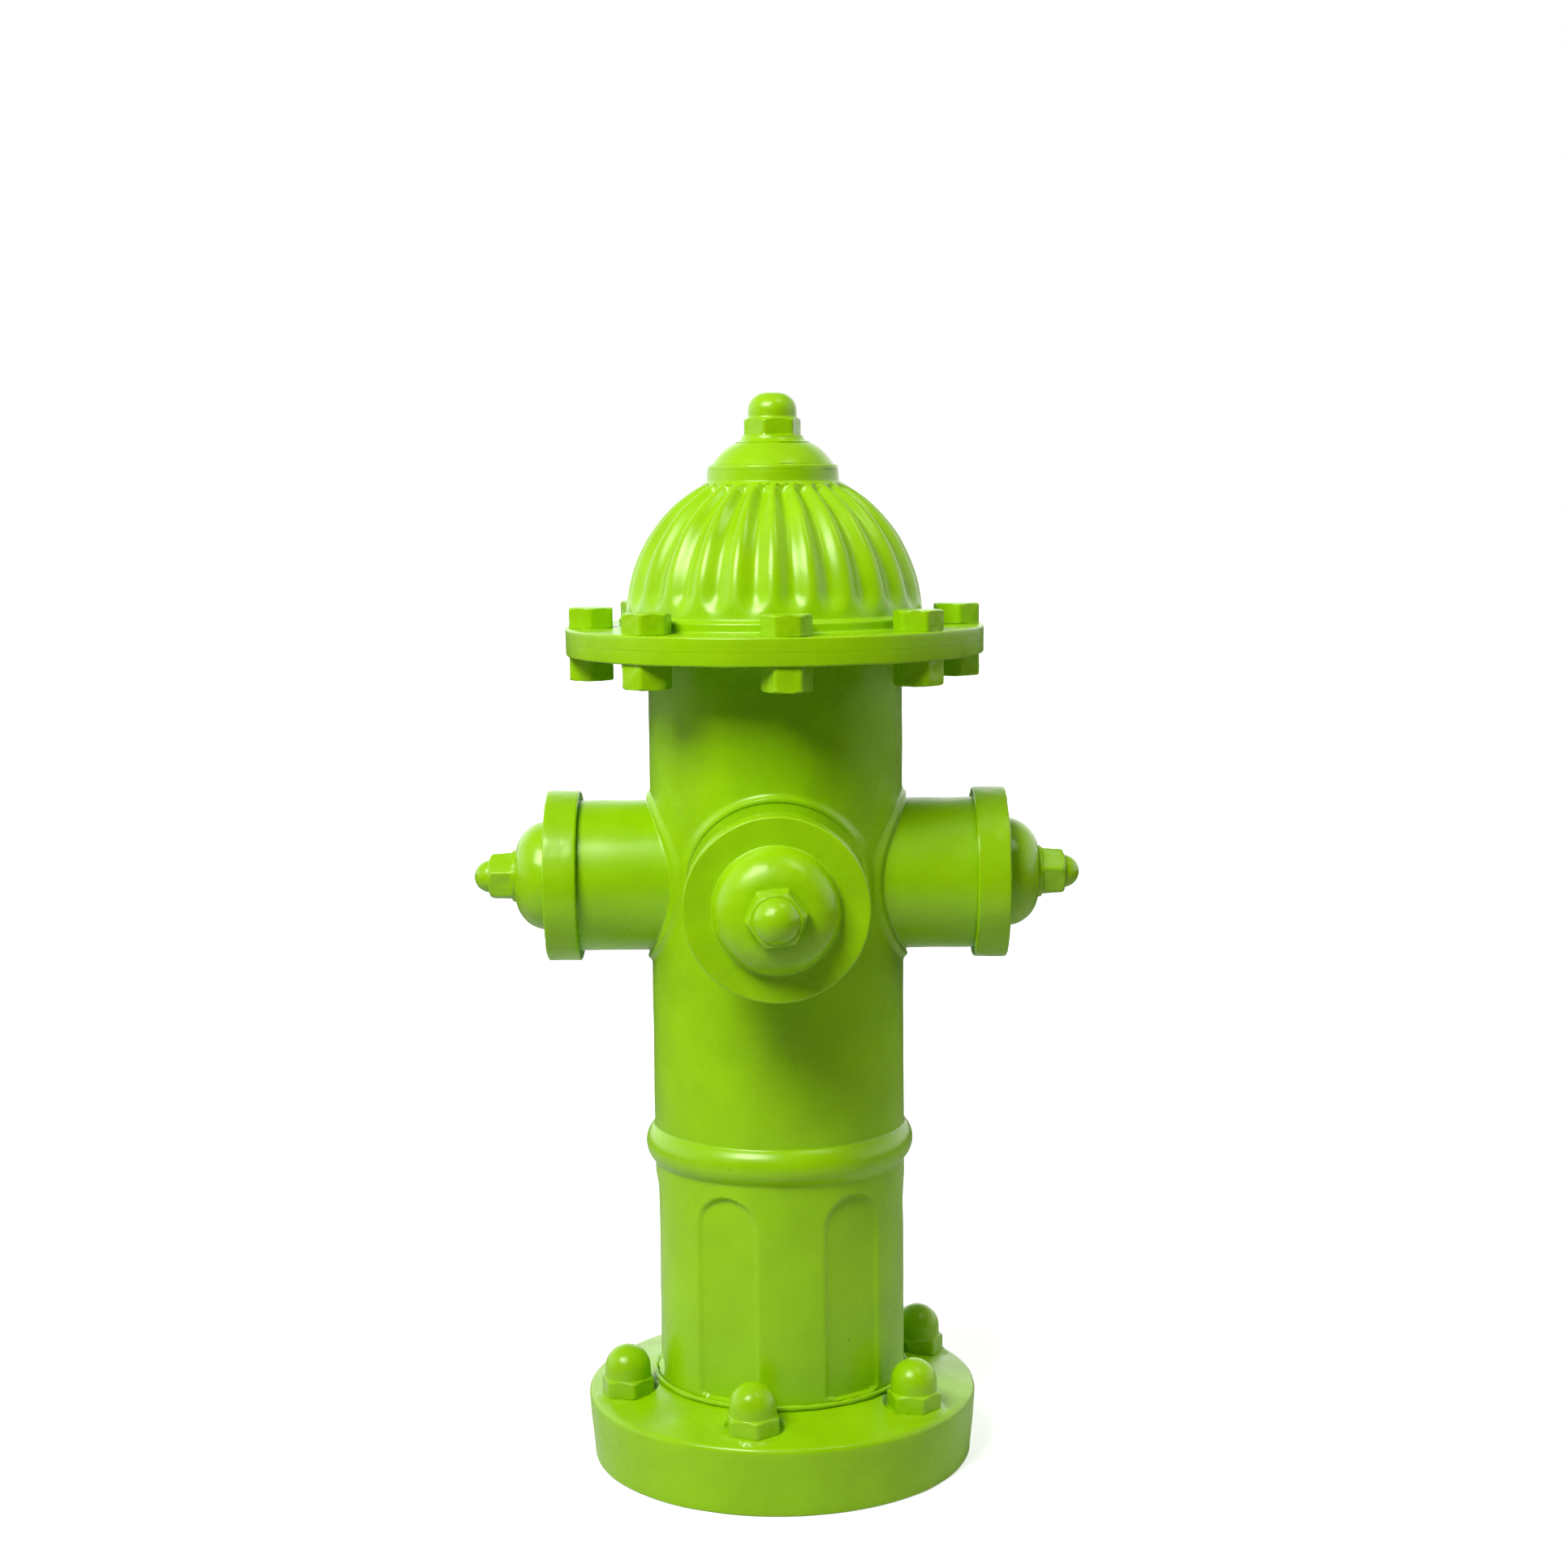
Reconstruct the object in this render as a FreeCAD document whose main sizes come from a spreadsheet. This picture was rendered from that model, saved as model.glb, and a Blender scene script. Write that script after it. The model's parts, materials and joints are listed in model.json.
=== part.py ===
import FreeCAD, Part
import Sketcher
import math
import os
import re

# Flange-mounted dry-barrel fire hydrant with three capped outlets, full size, in millimetres.
# Origin: centre of the foot flange's underside. +Z up, the front outlet points to -Y.
# Turning the operating nut counter-clockwise lowers the main valve off its seat.

V3 = FreeCAD.Vector
doc = FreeCAD.newDocument("hydrant")
sheet = doc.addObject("Spreadsheet::Sheet", "Sizes")

DIMENSIONS = [
    # foot flange
    ("foot_ledge", 56.6, "how far the foot flange stands out of the barrel"),
    ("foot_draft", 4.6, "draft of the rim, taken off the radius at the bottom"),
    ("foot_rim_z", 54.2, "height of the rim"),
    ("foot_hub_z", 65.5, "height of the sloped top where it meets the barrel"),
    ("foot_edge", 4.0, "rounding of the rim's edge"),
    ("inlet_inset", 22.0, "barrel radius less the inlet's radius"),
    ("socket_z", 30.0, "floor of the socket that takes the barrel"),
    ("stud_offset", 28.0, "distance of the stud circle from the barrel"),
    ("stud_pitch", 64.0, "angle from one stud to the next"),
    ("stud_first", -74.0, "angle of the first stud, from the front toward +X"),
    ("stud_hole_r", 11.0, "clearance hole for an M20 stud"),
    ("stud_tap_r", 8.65, "tapped hole in the cap nut, minor radius"),
    ("nut_seat_z", 58.5, "height of the spot face under each cap nut"),
    ("nut_boss_r", 23.6, "radius of the spot face"),
    ("cap_nut_hex_r", 21.9, "cap nut, radius across corners"),
    ("cap_nut_hex_len", 13.0, "cap nut, height of the hexagon"),
    ("cap_nut_dome_r", 18.2, "cap nut, dome radius"),
    ("cap_nut_len", 38.5, "cap nut, whole height"),
    # barrel
    ("barrel_r", 100.0, "outside radius of the barrel"),
    ("barrel_wall", 13.0, "wall above the seat land"),
    ("lower_wall", 18.0, "wall below the seat land"),
    ("land_inset", 12.0, "how far the seat land stands into the lower bore"),
    ("land_len", 32.0, "height of the seat land"),
    ("band_z", 256.9, "middle of the raised band"),
    ("band_half", 14.4, "half the height of the band"),
    ("band_rise", 7.0, "how far the band stands out"),
    ("panel_count", 6, "recessed panels round the lower barrel"),
    ("panel_first", -25.0, "angle of the first panel"),
    ("panel_half", 25.2, "half the width of a panel"),
    ("panel_drop", 25.9, "top of the arched panel, below the middle of the band"),
    ("panel_low_z", 72.0, "lower end of the panels"),
    ("panel_depth", 3.2, "depth of a panel at its middle"),
    ("flange_ledge", 64.1, "how far the bolted flanges stand out of the barrel"),
    ("flange_z", 646.8, "underside of the barrel flange"),
    ("flange_len", 10.9, "thickness of each of the two flanges"),
    ("flange_edge", 1.5, "bevel on the flange edges"),
    ("bolt_offset", 44.0, "distance of the bolt circle from the barrel"),
    ("bolt_count", 8, "bolts in the flange"),
    ("bolt_first", 3.7, "angle of the first bolt, from the front toward +X"),
    ("bolt_r", 11.0, "M22 bolt shank"),
    ("bolt_hole_r", 12.0, "clearance hole for the bolt"),
    ("bolt_hex_r", 19.6, "bolt head and nut, radius across corners"),
    ("bolt_head_len", 15.6, "height of the bolt head"),
    ("bolt_nut_len", 19.0, "height of the nut"),
    # outlets
    ("outlet_drop", 175.8, "height of the outlet axes below the barrel flange"),
    ("arm_r", 59.75, "outside radius of an outlet arm"),
    ("arm_len", 55.4, "length of an outlet arm outside the barrel"),
    ("arm_blend", 8.0, "fillet at the root of an arm"),
    ("saddle_r", 71.5, "radius of the raised pad round an arm"),
    ("saddle_rise", 1.8, "how far the pad stands out of the barrel"),
    ("arm_port_r", 44.0, "waterway through the barrel wall"),
    ("nozzle_depth", 33.4, "depth of the nozzle in the arm"),
    ("nozzle_step", 3.0, "nozzle radius in the arm beyond the thread's"),
    ("nozzle_thread_r", 46.0, "crest radius of the hose thread"),
    ("nozzle_wall", 8.0, "wall of the nozzle at the thread's crest"),
    ("nozzle_reach", 19.9, "length of the nozzle outside the arm"),
    ("cap_gap", 0.8, "gap between the arm and the cap"),
    ("cap_rim_r", 67.5, "radius of a side cap"),
    ("cap_rim_len", 25.0, "length of the cap's rim"),
    ("cap_edge", 4.0, "rounding of the cap's edge"),
    ("cap_dome_r", 43.0, "radius of the dome where it leaves the rim"),
    ("cap_crown_r", 26.0, "radius of the dome's curve"),
    ("cap_neck_r", 20.5, "radius of the collar under the hexagon"),
    ("cap_hex_offset", 30.3, "start of the cap's hexagon, beyond the rim"),
    ("cap_hex_len", 16.5, "length of the cap's hexagon"),
    ("cap_hex_r", 19.6, "side cap hexagon, radius across corners"),
    ("cap_tip_r", 13.3, "radius of the boss at the tip"),
    ("cap_tip_len", 12.3, "length of the tip beyond the hexagon"),
    ("front_rim_extra", 1.5, "the front cap is a larger casting by this radius"),
    ("front_dome_extra", 4.0, "the front cap's dome is larger by this radius"),
    ("front_hex_extra", 2.3, "the front cap's hexagon is larger by this radius"),
    ("front_tip_extra", 4.2, "the front cap's tip is larger by this radius"),
    ("cap_thread_gap", 0.3, "radial clearance between cap and nozzle thread"),
    ("gasket_len", 3.0, "thickness of a cap gasket"),
    ("screw_r", 4.0, "set screw that holds a nozzle"),
    # bonnet
    ("step_ledge", 5.7, "how far the step stands out of the dome"),
    ("step_len", 8.4, "height of the step"),
    ("dome_rise", 18.3, "centre of the dome above the flange joint"),
    ("dome_ledge", 16.3, "dome radius beyond the barrel's"),
    ("dome_wall", 13.3, "wall of the dome"),
    ("flute_count", 24, "flutes round the dome"),
    ("flute_width", 8.2, "angle taken up by one flute"),
    ("flute_first", 7.5, "angle of the first flute"),
    ("flute_depth", 3.4, "depth of a flute"),
    ("flute_rise", 9.5, "lower end of the flutes above the dome's centre"),
    ("neck_foot_r", 55.9, "radius at which the dome meets the neck"),
    ("neck_len", 12.0, "height of the neck ring"),
    ("neck_r", 52.0, "radius of the neck ring"),
    ("shelf_drop", 24.0, "underside of the thrust shelf below the neck ring"),
    ("shelf_len", 6.0, "thickness of the thrust shelf"),
    ("shelf_bore_r", 25.0, "bore through the thrust shelf"),
    ("neck_bore_r", 36.0, "thread of the hold-down nut"),
    # operating nut and hold-down nut
    ("shaft_r", 20.0, "shaft of the operating nut"),
    ("collar_r", 31.0, "thrust collar"),
    ("collar_len", 7.0, "height of the thrust collar"),
    ("washer_r", 34.0, "thrust washers"),
    ("washer_len", 3.8, "thickness of the thrust washers"),
    ("bell_len", 22.0, "height of the hold-down nut above the neck"),
    ("bell_r", 49.2, "radius of the hold-down nut"),
    ("bell_crown_r", 50.8, "radius of the hold-down nut's curve"),
    ("hex_len", 17.0, "height of the operating hexagon"),
    ("hex_r", 23.0, "operating hexagon, radius across corners"),
    ("hex_turn", -16.5, "angle of one corner of the operating hexagon"),
    ("tip_r", 19.0, "radius of the operating nut's dome"),
    ("tip_edge", 14.0, "rounding of that dome"),
    ("tip_len", 19.5, "height of the dome above the operating hexagon"),
    # stem and main valve
    ("stem_r", 13.0, "radius of the stem"),
    ("stem_cover", 15.5, "top of the stem below the top of the nut, valve shut"),
    ("stem_joint_rise", 80.0, "stem joint above the seat land"),
    ("travel", 50.8, "travel of the main valve"),
    ("sleeve_r", 21.0, "radius of the stem coupling"),
    ("sleeve_half", 34.0, "half the length of the stem coupling"),
    ("pin_r", 4.0, "radius of a coupling pin"),
    ("pin_offset", 17.0, "distance of each pin from the stem joint"),
    ("stop_r", 22.0, "stop nut, radius across corners"),
    ("stop_len", 11.5, "height of the stop nut"),
    ("plate_ledge", 6.0, "seal plate radius beyond the barrel's"),
    ("seal_plate_len", 8.0, "thickness of the seal plate"),
    ("seal_hub_r", 30.0, "hub of the seal plate"),
    ("ring_section", 2.0, "section radius of the stem seal rings"),
    ("seat_wall", 13.0, "wall of the seat ring"),
    ("valve_clear", 8.2, "height of the stem's end above the foot with the valve open"),
    ("seat_ledge", 8.0, "how far the seat ring's flange stands out"),
    ("seat_flange_len", 8.0, "height of that flange"),
    ("disc_inset", 16.0, "lower bore radius less the main valve's"),
    ("valve_disc_len", 19.8, "thickness of the main valve's rubber"),
    ("plate_inset", 8.0, "main valve radius less the lower plate's"),
    ("lower_plate_len", 14.0, "thickness of the lower valve plate"),
    ("stem_end", 2.8, "stem below the lock nut"),
    ("upper_plate_len", 13.0, "thickness of the upper valve plate"),
    ("lock_nut_r", 23.0, "lock nut, radius across corners"),
    ("lock_nut_len", 16.0, "height of the lock nut"),
    # fits
    ("run_gap", 0.05, "radial clearance of a running fit"),
    ("seat_gap", 0.1, "clearance between faces that bear on each other"),
    ("cord_r", 2.2, "section radius of the joint bead"),
]

for row, (alias, size, note) in enumerate(DIMENSIONS, start=1):
    sheet.set("A%d" % row, alias)
    sheet.set("B%d" % row, str(size))
    sheet.set("C%d" % row, note)
    sheet.setAlias("B%d" % row, alias)
doc.recompute()

NAMES = {alias for alias, size, note in DIMENSIONS}

# Sizes that follow from the ones in the sheet.
FOLLOWS = {
    "foot_r": "barrel_r + foot_ledge",
    "inlet_r": "barrel_r - inlet_inset",
    "stud_circle_r": "barrel_r + stud_offset",
    "barrel_bore_r": "barrel_r - barrel_wall",
    "lower_bore_r": "barrel_r - lower_wall",
    "land_r": "lower_bore_r - land_inset",
    "seat_bore_r": "land_r - seat_wall",
    "seat_flange_r": "land_r + seat_ledge",
    "valve_disc_r": "lower_bore_r - disc_inset",
    "lower_plate_r": "valve_disc_r - plate_inset",
    "valve_stack": "valve_disc_len + lower_plate_len + lock_nut_len + stem_end + 4 * seat_gap",
    "seat_low_z": "travel + valve_clear + valve_stack",
    "land_z": "seat_low_z + 6",
    "stem_joint_z": "land_z + land_len + stem_joint_rise",
    "stem_low_z": "travel + valve_clear",
    "panel_top_z": "band_z - panel_drop",
    "flange_r": "barrel_r + flange_ledge",
    "bolt_circle_r": "barrel_r + bolt_offset",
    "outlet_z": "flange_z - outlet_drop",
    "arm_end": "barrel_r + arm_len",
    "nozzle_seat": "arm_end - nozzle_depth",
    "nozzle_end": "arm_end + nozzle_reach",
    "nozzle_body_r": "nozzle_thread_r + nozzle_step",
    "nozzle_bore_r": "nozzle_thread_r - nozzle_wall",
    "cap_face": "arm_end + cap_gap",
    "cap_hex_start": "cap_face + cap_rim_len + cap_hex_offset",
    "cap_hex_end": "cap_hex_start + cap_hex_len",
    "cap_tip_end": "cap_hex_end + cap_tip_len",
    "joint_z": "flange_z + flange_len",
    "dome_r": "barrel_r + dome_ledge",
    "step_r": "dome_r + step_ledge",
    "dome_z": "joint_z + dome_rise",
    "flute_low_z": "dome_z + flute_rise",
    "neck_low_z": "dome_z + sqrt(dome_r ^ 2 - neck_foot_r ^ 2)",
    "neck_top_z": "neck_low_z + neck_len",
    "shelf_low_z": "neck_low_z - shelf_drop",
    "shelf_z": "shelf_low_z + shelf_len",
    "seal_plate_r": "barrel_r + plate_ledge",
    "seal_hub_z": "shelf_low_z - 1.7 - stop_len - travel",
    "sleeve_low_z": "shelf_low_z + 3",
    "bell_top_z": "neck_top_z + bell_len",
    "hex_z": "bell_top_z + 1",
    "top_z": "hex_z + hex_len + tip_len",
    "stem_top_z": "top_z - stem_cover",
}


def linked(text):
    # the same formula with every size pointed at the sheet
    def point(word):
        name = word.group(0)
        if name in FOLLOWS:
            return "(%s)" % linked(FOLLOWS[name])
        return "Sizes." + name if name in NAMES else name
    return re.sub(r"[a-z_]+", point, text)


def size_of(text):
    return float(sheet.evalExpression(linked(text)))


def bind(item, prop, text):
    item.setExpression(prop, linked(text))


def origin_plane(body, role):
    return [item for item in body.Origin.OriginFeatures if item.Role == role][0]


def outline_sketch(body, name, outline):
    # A closed outline of radius and height.
    # A third and fourth entry give the centre of an arc that arrives at the corner.
    sketch = body.newObject("Sketcher::SketchObject", name)
    sketch.AttachmentSupport = [(origin_plane(body, "XZ_Plane"), "")]
    sketch.MapMode = "FlatFace"
    spots = [(size_of(item[0]), size_of(item[1])) for item in outline]
    ends = []
    for index, item in enumerate(outline):
        start = spots[index - 1]
        stop = spots[index]
        if len(item) == 2:
            geo = sketch.addGeometry(Part.LineSegment(V3(start[0], start[1], 0), V3(stop[0], stop[1], 0)))
            ends.append((geo, 1, 2))
            continue
        centre = (size_of(item[2]), size_of(item[3]))
        radius = math.hypot(start[0] - centre[0], start[1] - centre[1])
        first = math.atan2(start[1] - centre[1], start[0] - centre[0])
        last = math.atan2(stop[1] - centre[1], stop[0] - centre[0])
        left = ((last - first) % (2 * math.pi)) < math.pi
        circle = Part.Circle(V3(centre[0], centre[1], 0), V3(0, 0, 1), radius)
        if left:
            geo = sketch.addGeometry(Part.ArcOfCircle(circle, first, last))
            ends.append((geo, 1, 2))
        else:
            geo = sketch.addGeometry(Part.ArcOfCircle(circle, last, first))
            ends.append((geo, 2, 1))
        if abs(stop[1] - start[1]) > abs(stop[0] - start[0]):
            if abs(centre[0]) < 1e-9:
                sketch.addConstraint(Sketcher.Constraint("PointOnObject", geo, 3, -2))
            else:
                rule = sketch.addConstraint(Sketcher.Constraint("DistanceX", -1, 1, geo, 3, centre[0]))
                bind(sketch, "Constraints[%d]" % rule, item[2])
        else:
            rule = sketch.addConstraint(Sketcher.Constraint("DistanceY", -1, 1, geo, 3, centre[1]))
            bind(sketch, "Constraints[%d]" % rule, item[3])
    for index, item in enumerate(outline):
        geo, start, stop = ends[index]
        following = ends[(index + 1) % len(ends)]
        sketch.addConstraint(Sketcher.Constraint("Coincident", geo, stop, following[0], following[1]))
        for axis, kind, line in ((0, "DistanceX", -2), (1, "DistanceY", -1)):
            if abs(spots[index][axis]) < 1e-9:
                sketch.addConstraint(Sketcher.Constraint("PointOnObject", geo, stop, line))
            else:
                rule = sketch.addConstraint(Sketcher.Constraint(kind, -1, 1, geo, stop, spots[index][axis]))
                bind(sketch, "Constraints[%d]" % rule, item[axis])
    return sketch


def turned(name, outline):
    # a body turned about its own Z axis
    body = doc.addObject("PartDesign::Body", name)
    sketch = outline_sketch(body, name + "_outline", outline)
    turn = body.newObject("PartDesign::Revolution", name + "_turn")
    turn.Profile = sketch
    turn.ReferenceAxis = (sketch, ["V_Axis"])
    turn.Angle = 360
    body.Tip = turn
    doc.recompute()
    return body


def hexagon(name, radius, height, low, turn="0"):
    # a hexagonal prism on the Z axis, one corner at the angle turn from the front toward +X
    prism = doc.addObject("Part::Prism", name)
    prism.Polygon = 6
    bind(prism, "Circumradius", radius)
    bind(prism, "Height", height)
    bind(prism, "Placement.Base.z", low)
    bind(prism, "Placement.Rotation.Angle", "%s - 90" % turn)
    return prism


def rod(name, radius, height, low="0"):
    cylinder = doc.addObject("Part::Cylinder", name)
    bind(cylinder, "Radius", radius)
    bind(cylinder, "Height", height)
    bind(cylinder, "Placement.Base.z", low)
    return cylinder


def fused(name, items):
    union = doc.addObject("Part::MultiFuse", name)
    union.Shapes = items
    union.Refine = True
    return union


def cut(name, base, tools):
    if len(tools) > 1:
        tool = doc.addObject("Part::Compound", name + "_tools")
        tool.Links = tools
    else:
        tool = tools[0]
    result = doc.addObject("Part::Cut", name)
    result.Base = base
    result.Tool = tool
    result.Refine = True
    return result


def grouped(name, items):
    group = doc.addObject("Part::Compound", name)
    group.Links = items
    return group


def round_axis(item, radius, angle, low="0"):
    # set an item at an angle round the Z axis, turned with it
    bind(item, "Placement.Base.x", "%s * sin(%s)" % (radius, angle))
    bind(item, "Placement.Base.y", "-%s * cos(%s)" % (radius, angle))
    bind(item, "Placement.Base.z", low)
    bind(item, "Placement.Rotation.Angle", angle)


NODES = []


def node(item, label=None):
    item.Label = label or item.Name
    NODES.append(item)
    return item


# Foot flange: cast iron, a drafted disc with a sloped top and a socket that takes the barrel.
foot_blank = turned("foot_blank", [
    ("inlet_r", "0"),
    ("foot_r - foot_draft", "0"),
    ("foot_r", "foot_rim_z - foot_edge"),
    ("foot_r - foot_edge", "foot_rim_z", "foot_r - foot_edge", "foot_rim_z - foot_edge"),
    ("barrel_r + run_gap", "foot_hub_z"),
    ("barrel_r + run_gap", "socket_z"),
    ("inlet_r", "socket_z"),
])
stud_angles = ["(stud_first + %d * stud_pitch)" % index for index in range(5)]
bosses = []
stud_cuts = []
for index, angle in enumerate(stud_angles):
    boss = rod("stud_boss_%d" % index, "nut_boss_r", "nut_seat_z - foot_rim_z + 14")
    round_axis(boss, "stud_circle_r", angle, "foot_rim_z - 14")
    bosses.append(boss)
    face = rod("spot_face_%d" % index, "nut_boss_r", "20")
    round_axis(face, "stud_circle_r", angle, "nut_seat_z")
    hole = rod("stud_hole_%d" % index, "stud_hole_r", "nut_seat_z + 20")
    round_axis(hole, "stud_circle_r", angle, "-10")
    stud_cuts += [face, hole]
node(cut("foot_flange", fused("foot_with_bosses", [foot_blank] + bosses), stud_cuts))

# Joint bead: calked ring round the barrel where it enters the foot.
bead = doc.addObject("Part::Torus", "joint_bead")
bind(bead, "Radius1", "barrel_r + seat_gap + cord_r")
bind(bead, "Radius2", "cord_r")
bind(bead, "Placement.Base.z", "foot_hub_z + cord_r - 0.3")
node(bead)

# Cap nuts: domed nuts on the hold-down studs, tapped blind from below.
cap_nuts = []
for index, corner in enumerate((17, 10, 18, 35, 0)):
    body = hexagon("cap_nut_hex_%d" % index, "cap_nut_hex_r", "cap_nut_hex_len", "0", str(corner))
    stem = rod("cap_nut_stem_%d" % index, "cap_nut_dome_r", "cap_nut_len - cap_nut_dome_r")
    dome = doc.addObject("Part::Sphere", "cap_nut_dome_%d" % index)
    bind(dome, "Radius", "cap_nut_dome_r")
    bind(dome, "Placement.Base.z", "cap_nut_len - cap_nut_dome_r")
    solid = fused("cap_nut_solid_%d" % index, [body, stem, dome])
    tap = rod("cap_nut_tap_%d" % index, "stud_tap_r", "26", "-2")
    nut = cut("cap_nut_%d" % index, solid, [tap])
    angle = stud_angles[index]
    bind(nut, "Placement.Base.x", "stud_circle_r * sin(%s)" % angle)
    bind(nut, "Placement.Base.y", "-stud_circle_r * cos(%s)" % angle)
    bind(nut, "Placement.Base.z", "nut_seat_z + seat_gap")
    cap_nuts.append(nut)
node(grouped("foot_cap_nuts", cap_nuts))

# Outlets: a name, the way each axis points in plan, and the turn that lays a part's own Z along it.
OUTLETS = [
    ("front", 0, -1, FreeCAD.Rotation(V3(1, 0, 0), 90)),
    ("right", 1, 0, FreeCAD.Rotation(V3(0, 1, 0), 90)),
    ("left", -1, 0, FreeCAD.Rotation(V3(0, 1, 0), -90)),
]


def lying(name, radius, start, stop, outlet):
    # a rod along an outlet axis between two distances from the barrel axis
    cylinder = doc.addObject("Part::Cylinder", name + "_" + outlet[0])
    bind(cylinder, "Radius", radius)
    bind(cylinder, "Height", "(%s) - (%s)" % (stop, start))
    cylinder.Placement = FreeCAD.Placement(V3(0, 0, 0), outlet[3])
    bind(cylinder, "Placement.Base.x", "%d * (%s)" % (outlet[1], start))
    bind(cylinder, "Placement.Base.y", "%d * (%s)" % (outlet[2], start))
    bind(cylinder, "Placement.Base.z", "outlet_z")
    return cylinder


def laid(item, outlet):
    # an item modelled along its own Z, set on an outlet axis
    item.Placement = FreeCAD.Placement(V3(0, 0, 0), outlet[3])
    bind(item, "Placement.Base.z", "outlet_z")
    return item


# Barrel: cast iron, one casting with three outlet arms, a raised band and the lower bolted flange.
shell = rod("barrel_shell", "barrel_r", "flange_z - socket_z - seat_gap", "socket_z + seat_gap")
saddle_tubes = [lying("saddle_tube", "saddle_r", "0", "barrel_r + 20", outlet) for outlet in OUTLETS]
saddle_skin = rod("saddle_skin", "barrel_r + saddle_rise", "2 * saddle_r + 20", "outlet_z - saddle_r - 10")
saddle = doc.addObject("Part::MultiCommon", "saddle")
saddle.Shapes = [saddle_skin, fused("saddle_tubes", saddle_tubes)]
arms = [lying("arm", "arm_r", "0", "arm_end", outlet) for outlet in OUTLETS]
arm_blank = fused("barrel_with_arms", [shell, saddle] + arms)
doc.recompute()

ARM_R = size_of("arm_r")
PAD_R = size_of("barrel_r + saddle_rise")
OUTLET_Z = size_of("outlet_z")


def at_arm_root(edge):
    for step in range(5):
        spot = edge.valueAt(edge.FirstParameter + (edge.LastParameter - edge.FirstParameter) * step / 4.0)
        if abs(math.hypot(spot.x, spot.y) - PAD_R) > 0.01:
            return False
        across = min(abs(spot.x), abs(spot.y))
        if abs(math.hypot(across, spot.z - OUTLET_Z) - ARM_R) > 0.01:
            return False
    return True


root_edges = ["Edge%d" % (index + 1) for index, edge in enumerate(arm_blank.Shape.Edges) if at_arm_root(edge)]
blend_body = doc.addObject("PartDesign::Body", "barrel_blend")
blend_body.BaseFeature = arm_blank
doc.recompute()
blend = blend_body.newObject("PartDesign::Fillet", "arm_root_fillet")
blend.Base = (blend_body.Group[0], root_edges)
bind(blend, "Radius", "arm_blend")
blend_body.Tip = blend
doc.recompute()

band = turned("barrel_band", [
    ("barrel_r - 4", "band_z - band_half"),
    ("barrel_r", "band_z - band_half"),
    ("barrel_r", "band_z + band_half",
     "barrel_r + band_rise / 2 - band_half ^ 2 / 2 / band_rise", "band_z"),
    ("barrel_r - 4", "band_z + band_half"),
])
barrel_flange = turned("barrel_flange", [
    ("barrel_bore_r + 4", "flange_z"),
    ("flange_r - flange_edge", "flange_z"),
    ("flange_r", "flange_z + flange_edge"),
    ("flange_r", "flange_z + flange_len"),
    ("barrel_bore_r + 4", "flange_z + flange_len"),
])
barrel_solid = fused("barrel_solid", [blend_body, band, barrel_flange])
barrel_cuts = [
    rod("lower_bore", "lower_bore_r", "land_z - socket_z + 20", "socket_z - 20"),
    rod("land_bore", "land_r", "land_len + 20", "land_z - 10"),
    rod("upper_bore", "barrel_bore_r", "flange_z - land_z - land_len + flange_len + 10", "land_z + land_len"),
    turned("gasket_recess", [
        ("seal_plate_r + 2", "flange_z + flange_len - 1.5"),
        ("bolt_circle_r - bolt_hole_r - 2", "flange_z + flange_len - 1.5"),
        ("bolt_circle_r - bolt_hole_r - 2", "flange_z + flange_len + 3"),
        ("seal_plate_r + 2", "flange_z + flange_len + 3"),
    ]),
]
for outlet in OUTLETS:
    barrel_cuts.append(lying("arm_port", "arm_port_r", "barrel_bore_r / 2", "nozzle_seat + 5", outlet))
    barrel_cuts.append(lying("arm_socket", "nozzle_body_r + run_gap", "nozzle_seat", "arm_end + 10", outlet))
    hole = rod("screw_hole_" + outlet[0], "screw_r + run_gap", "arm_r", "outlet_z - arm_r - 10")
    bind(hole, "Placement.Base.x", "%d * (nozzle_seat + 18)" % outlet[1])
    bind(hole, "Placement.Base.y", "%d * (nozzle_seat + 18)" % outlet[2])
    barrel_cuts.append(hole)
bolt_angles = ["(bolt_first + %d * 360 / bolt_count)" % index for index in range(int(size_of("bolt_count")))]
for index, angle in enumerate(bolt_angles):
    hole = rod("barrel_bolt_hole_%d" % index, "bolt_hole_r", "flange_len + 20")
    round_axis(hole, "bolt_circle_r", angle, "flange_z - 10")
    barrel_cuts.append(hole)
for index in range(int(size_of("panel_count"))):
    angle = "(panel_first + %d * 360 / panel_count)" % index
    slab = doc.addObject("Part::Box", "panel_slab_%d" % index)
    bind(slab, "Length", "2 * panel_half")
    bind(slab, "Width", "20")
    bind(slab, "Height", "panel_top_z - panel_half - panel_low_z")
    bind(slab, "Placement.Base.x", "-panel_half")
    bind(slab, "Placement.Base.y", "-(barrel_r - panel_depth + 20)")
    bind(slab, "Placement.Base.z", "panel_low_z")
    arch = lying("panel_arch_%d" % index, "panel_half", "barrel_r - panel_depth",
                 "barrel_r - panel_depth + 20", OUTLETS[0])
    bind(arch, "Placement.Base.z", "panel_top_z - panel_half")
    panel = fused("panel_%d" % index, [slab, arch])
    bind(panel, "Placement.Rotation.Angle", angle)
    barrel_cuts.append(panel)
node(cut("barrel", barrel_solid, barrel_cuts))

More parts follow.
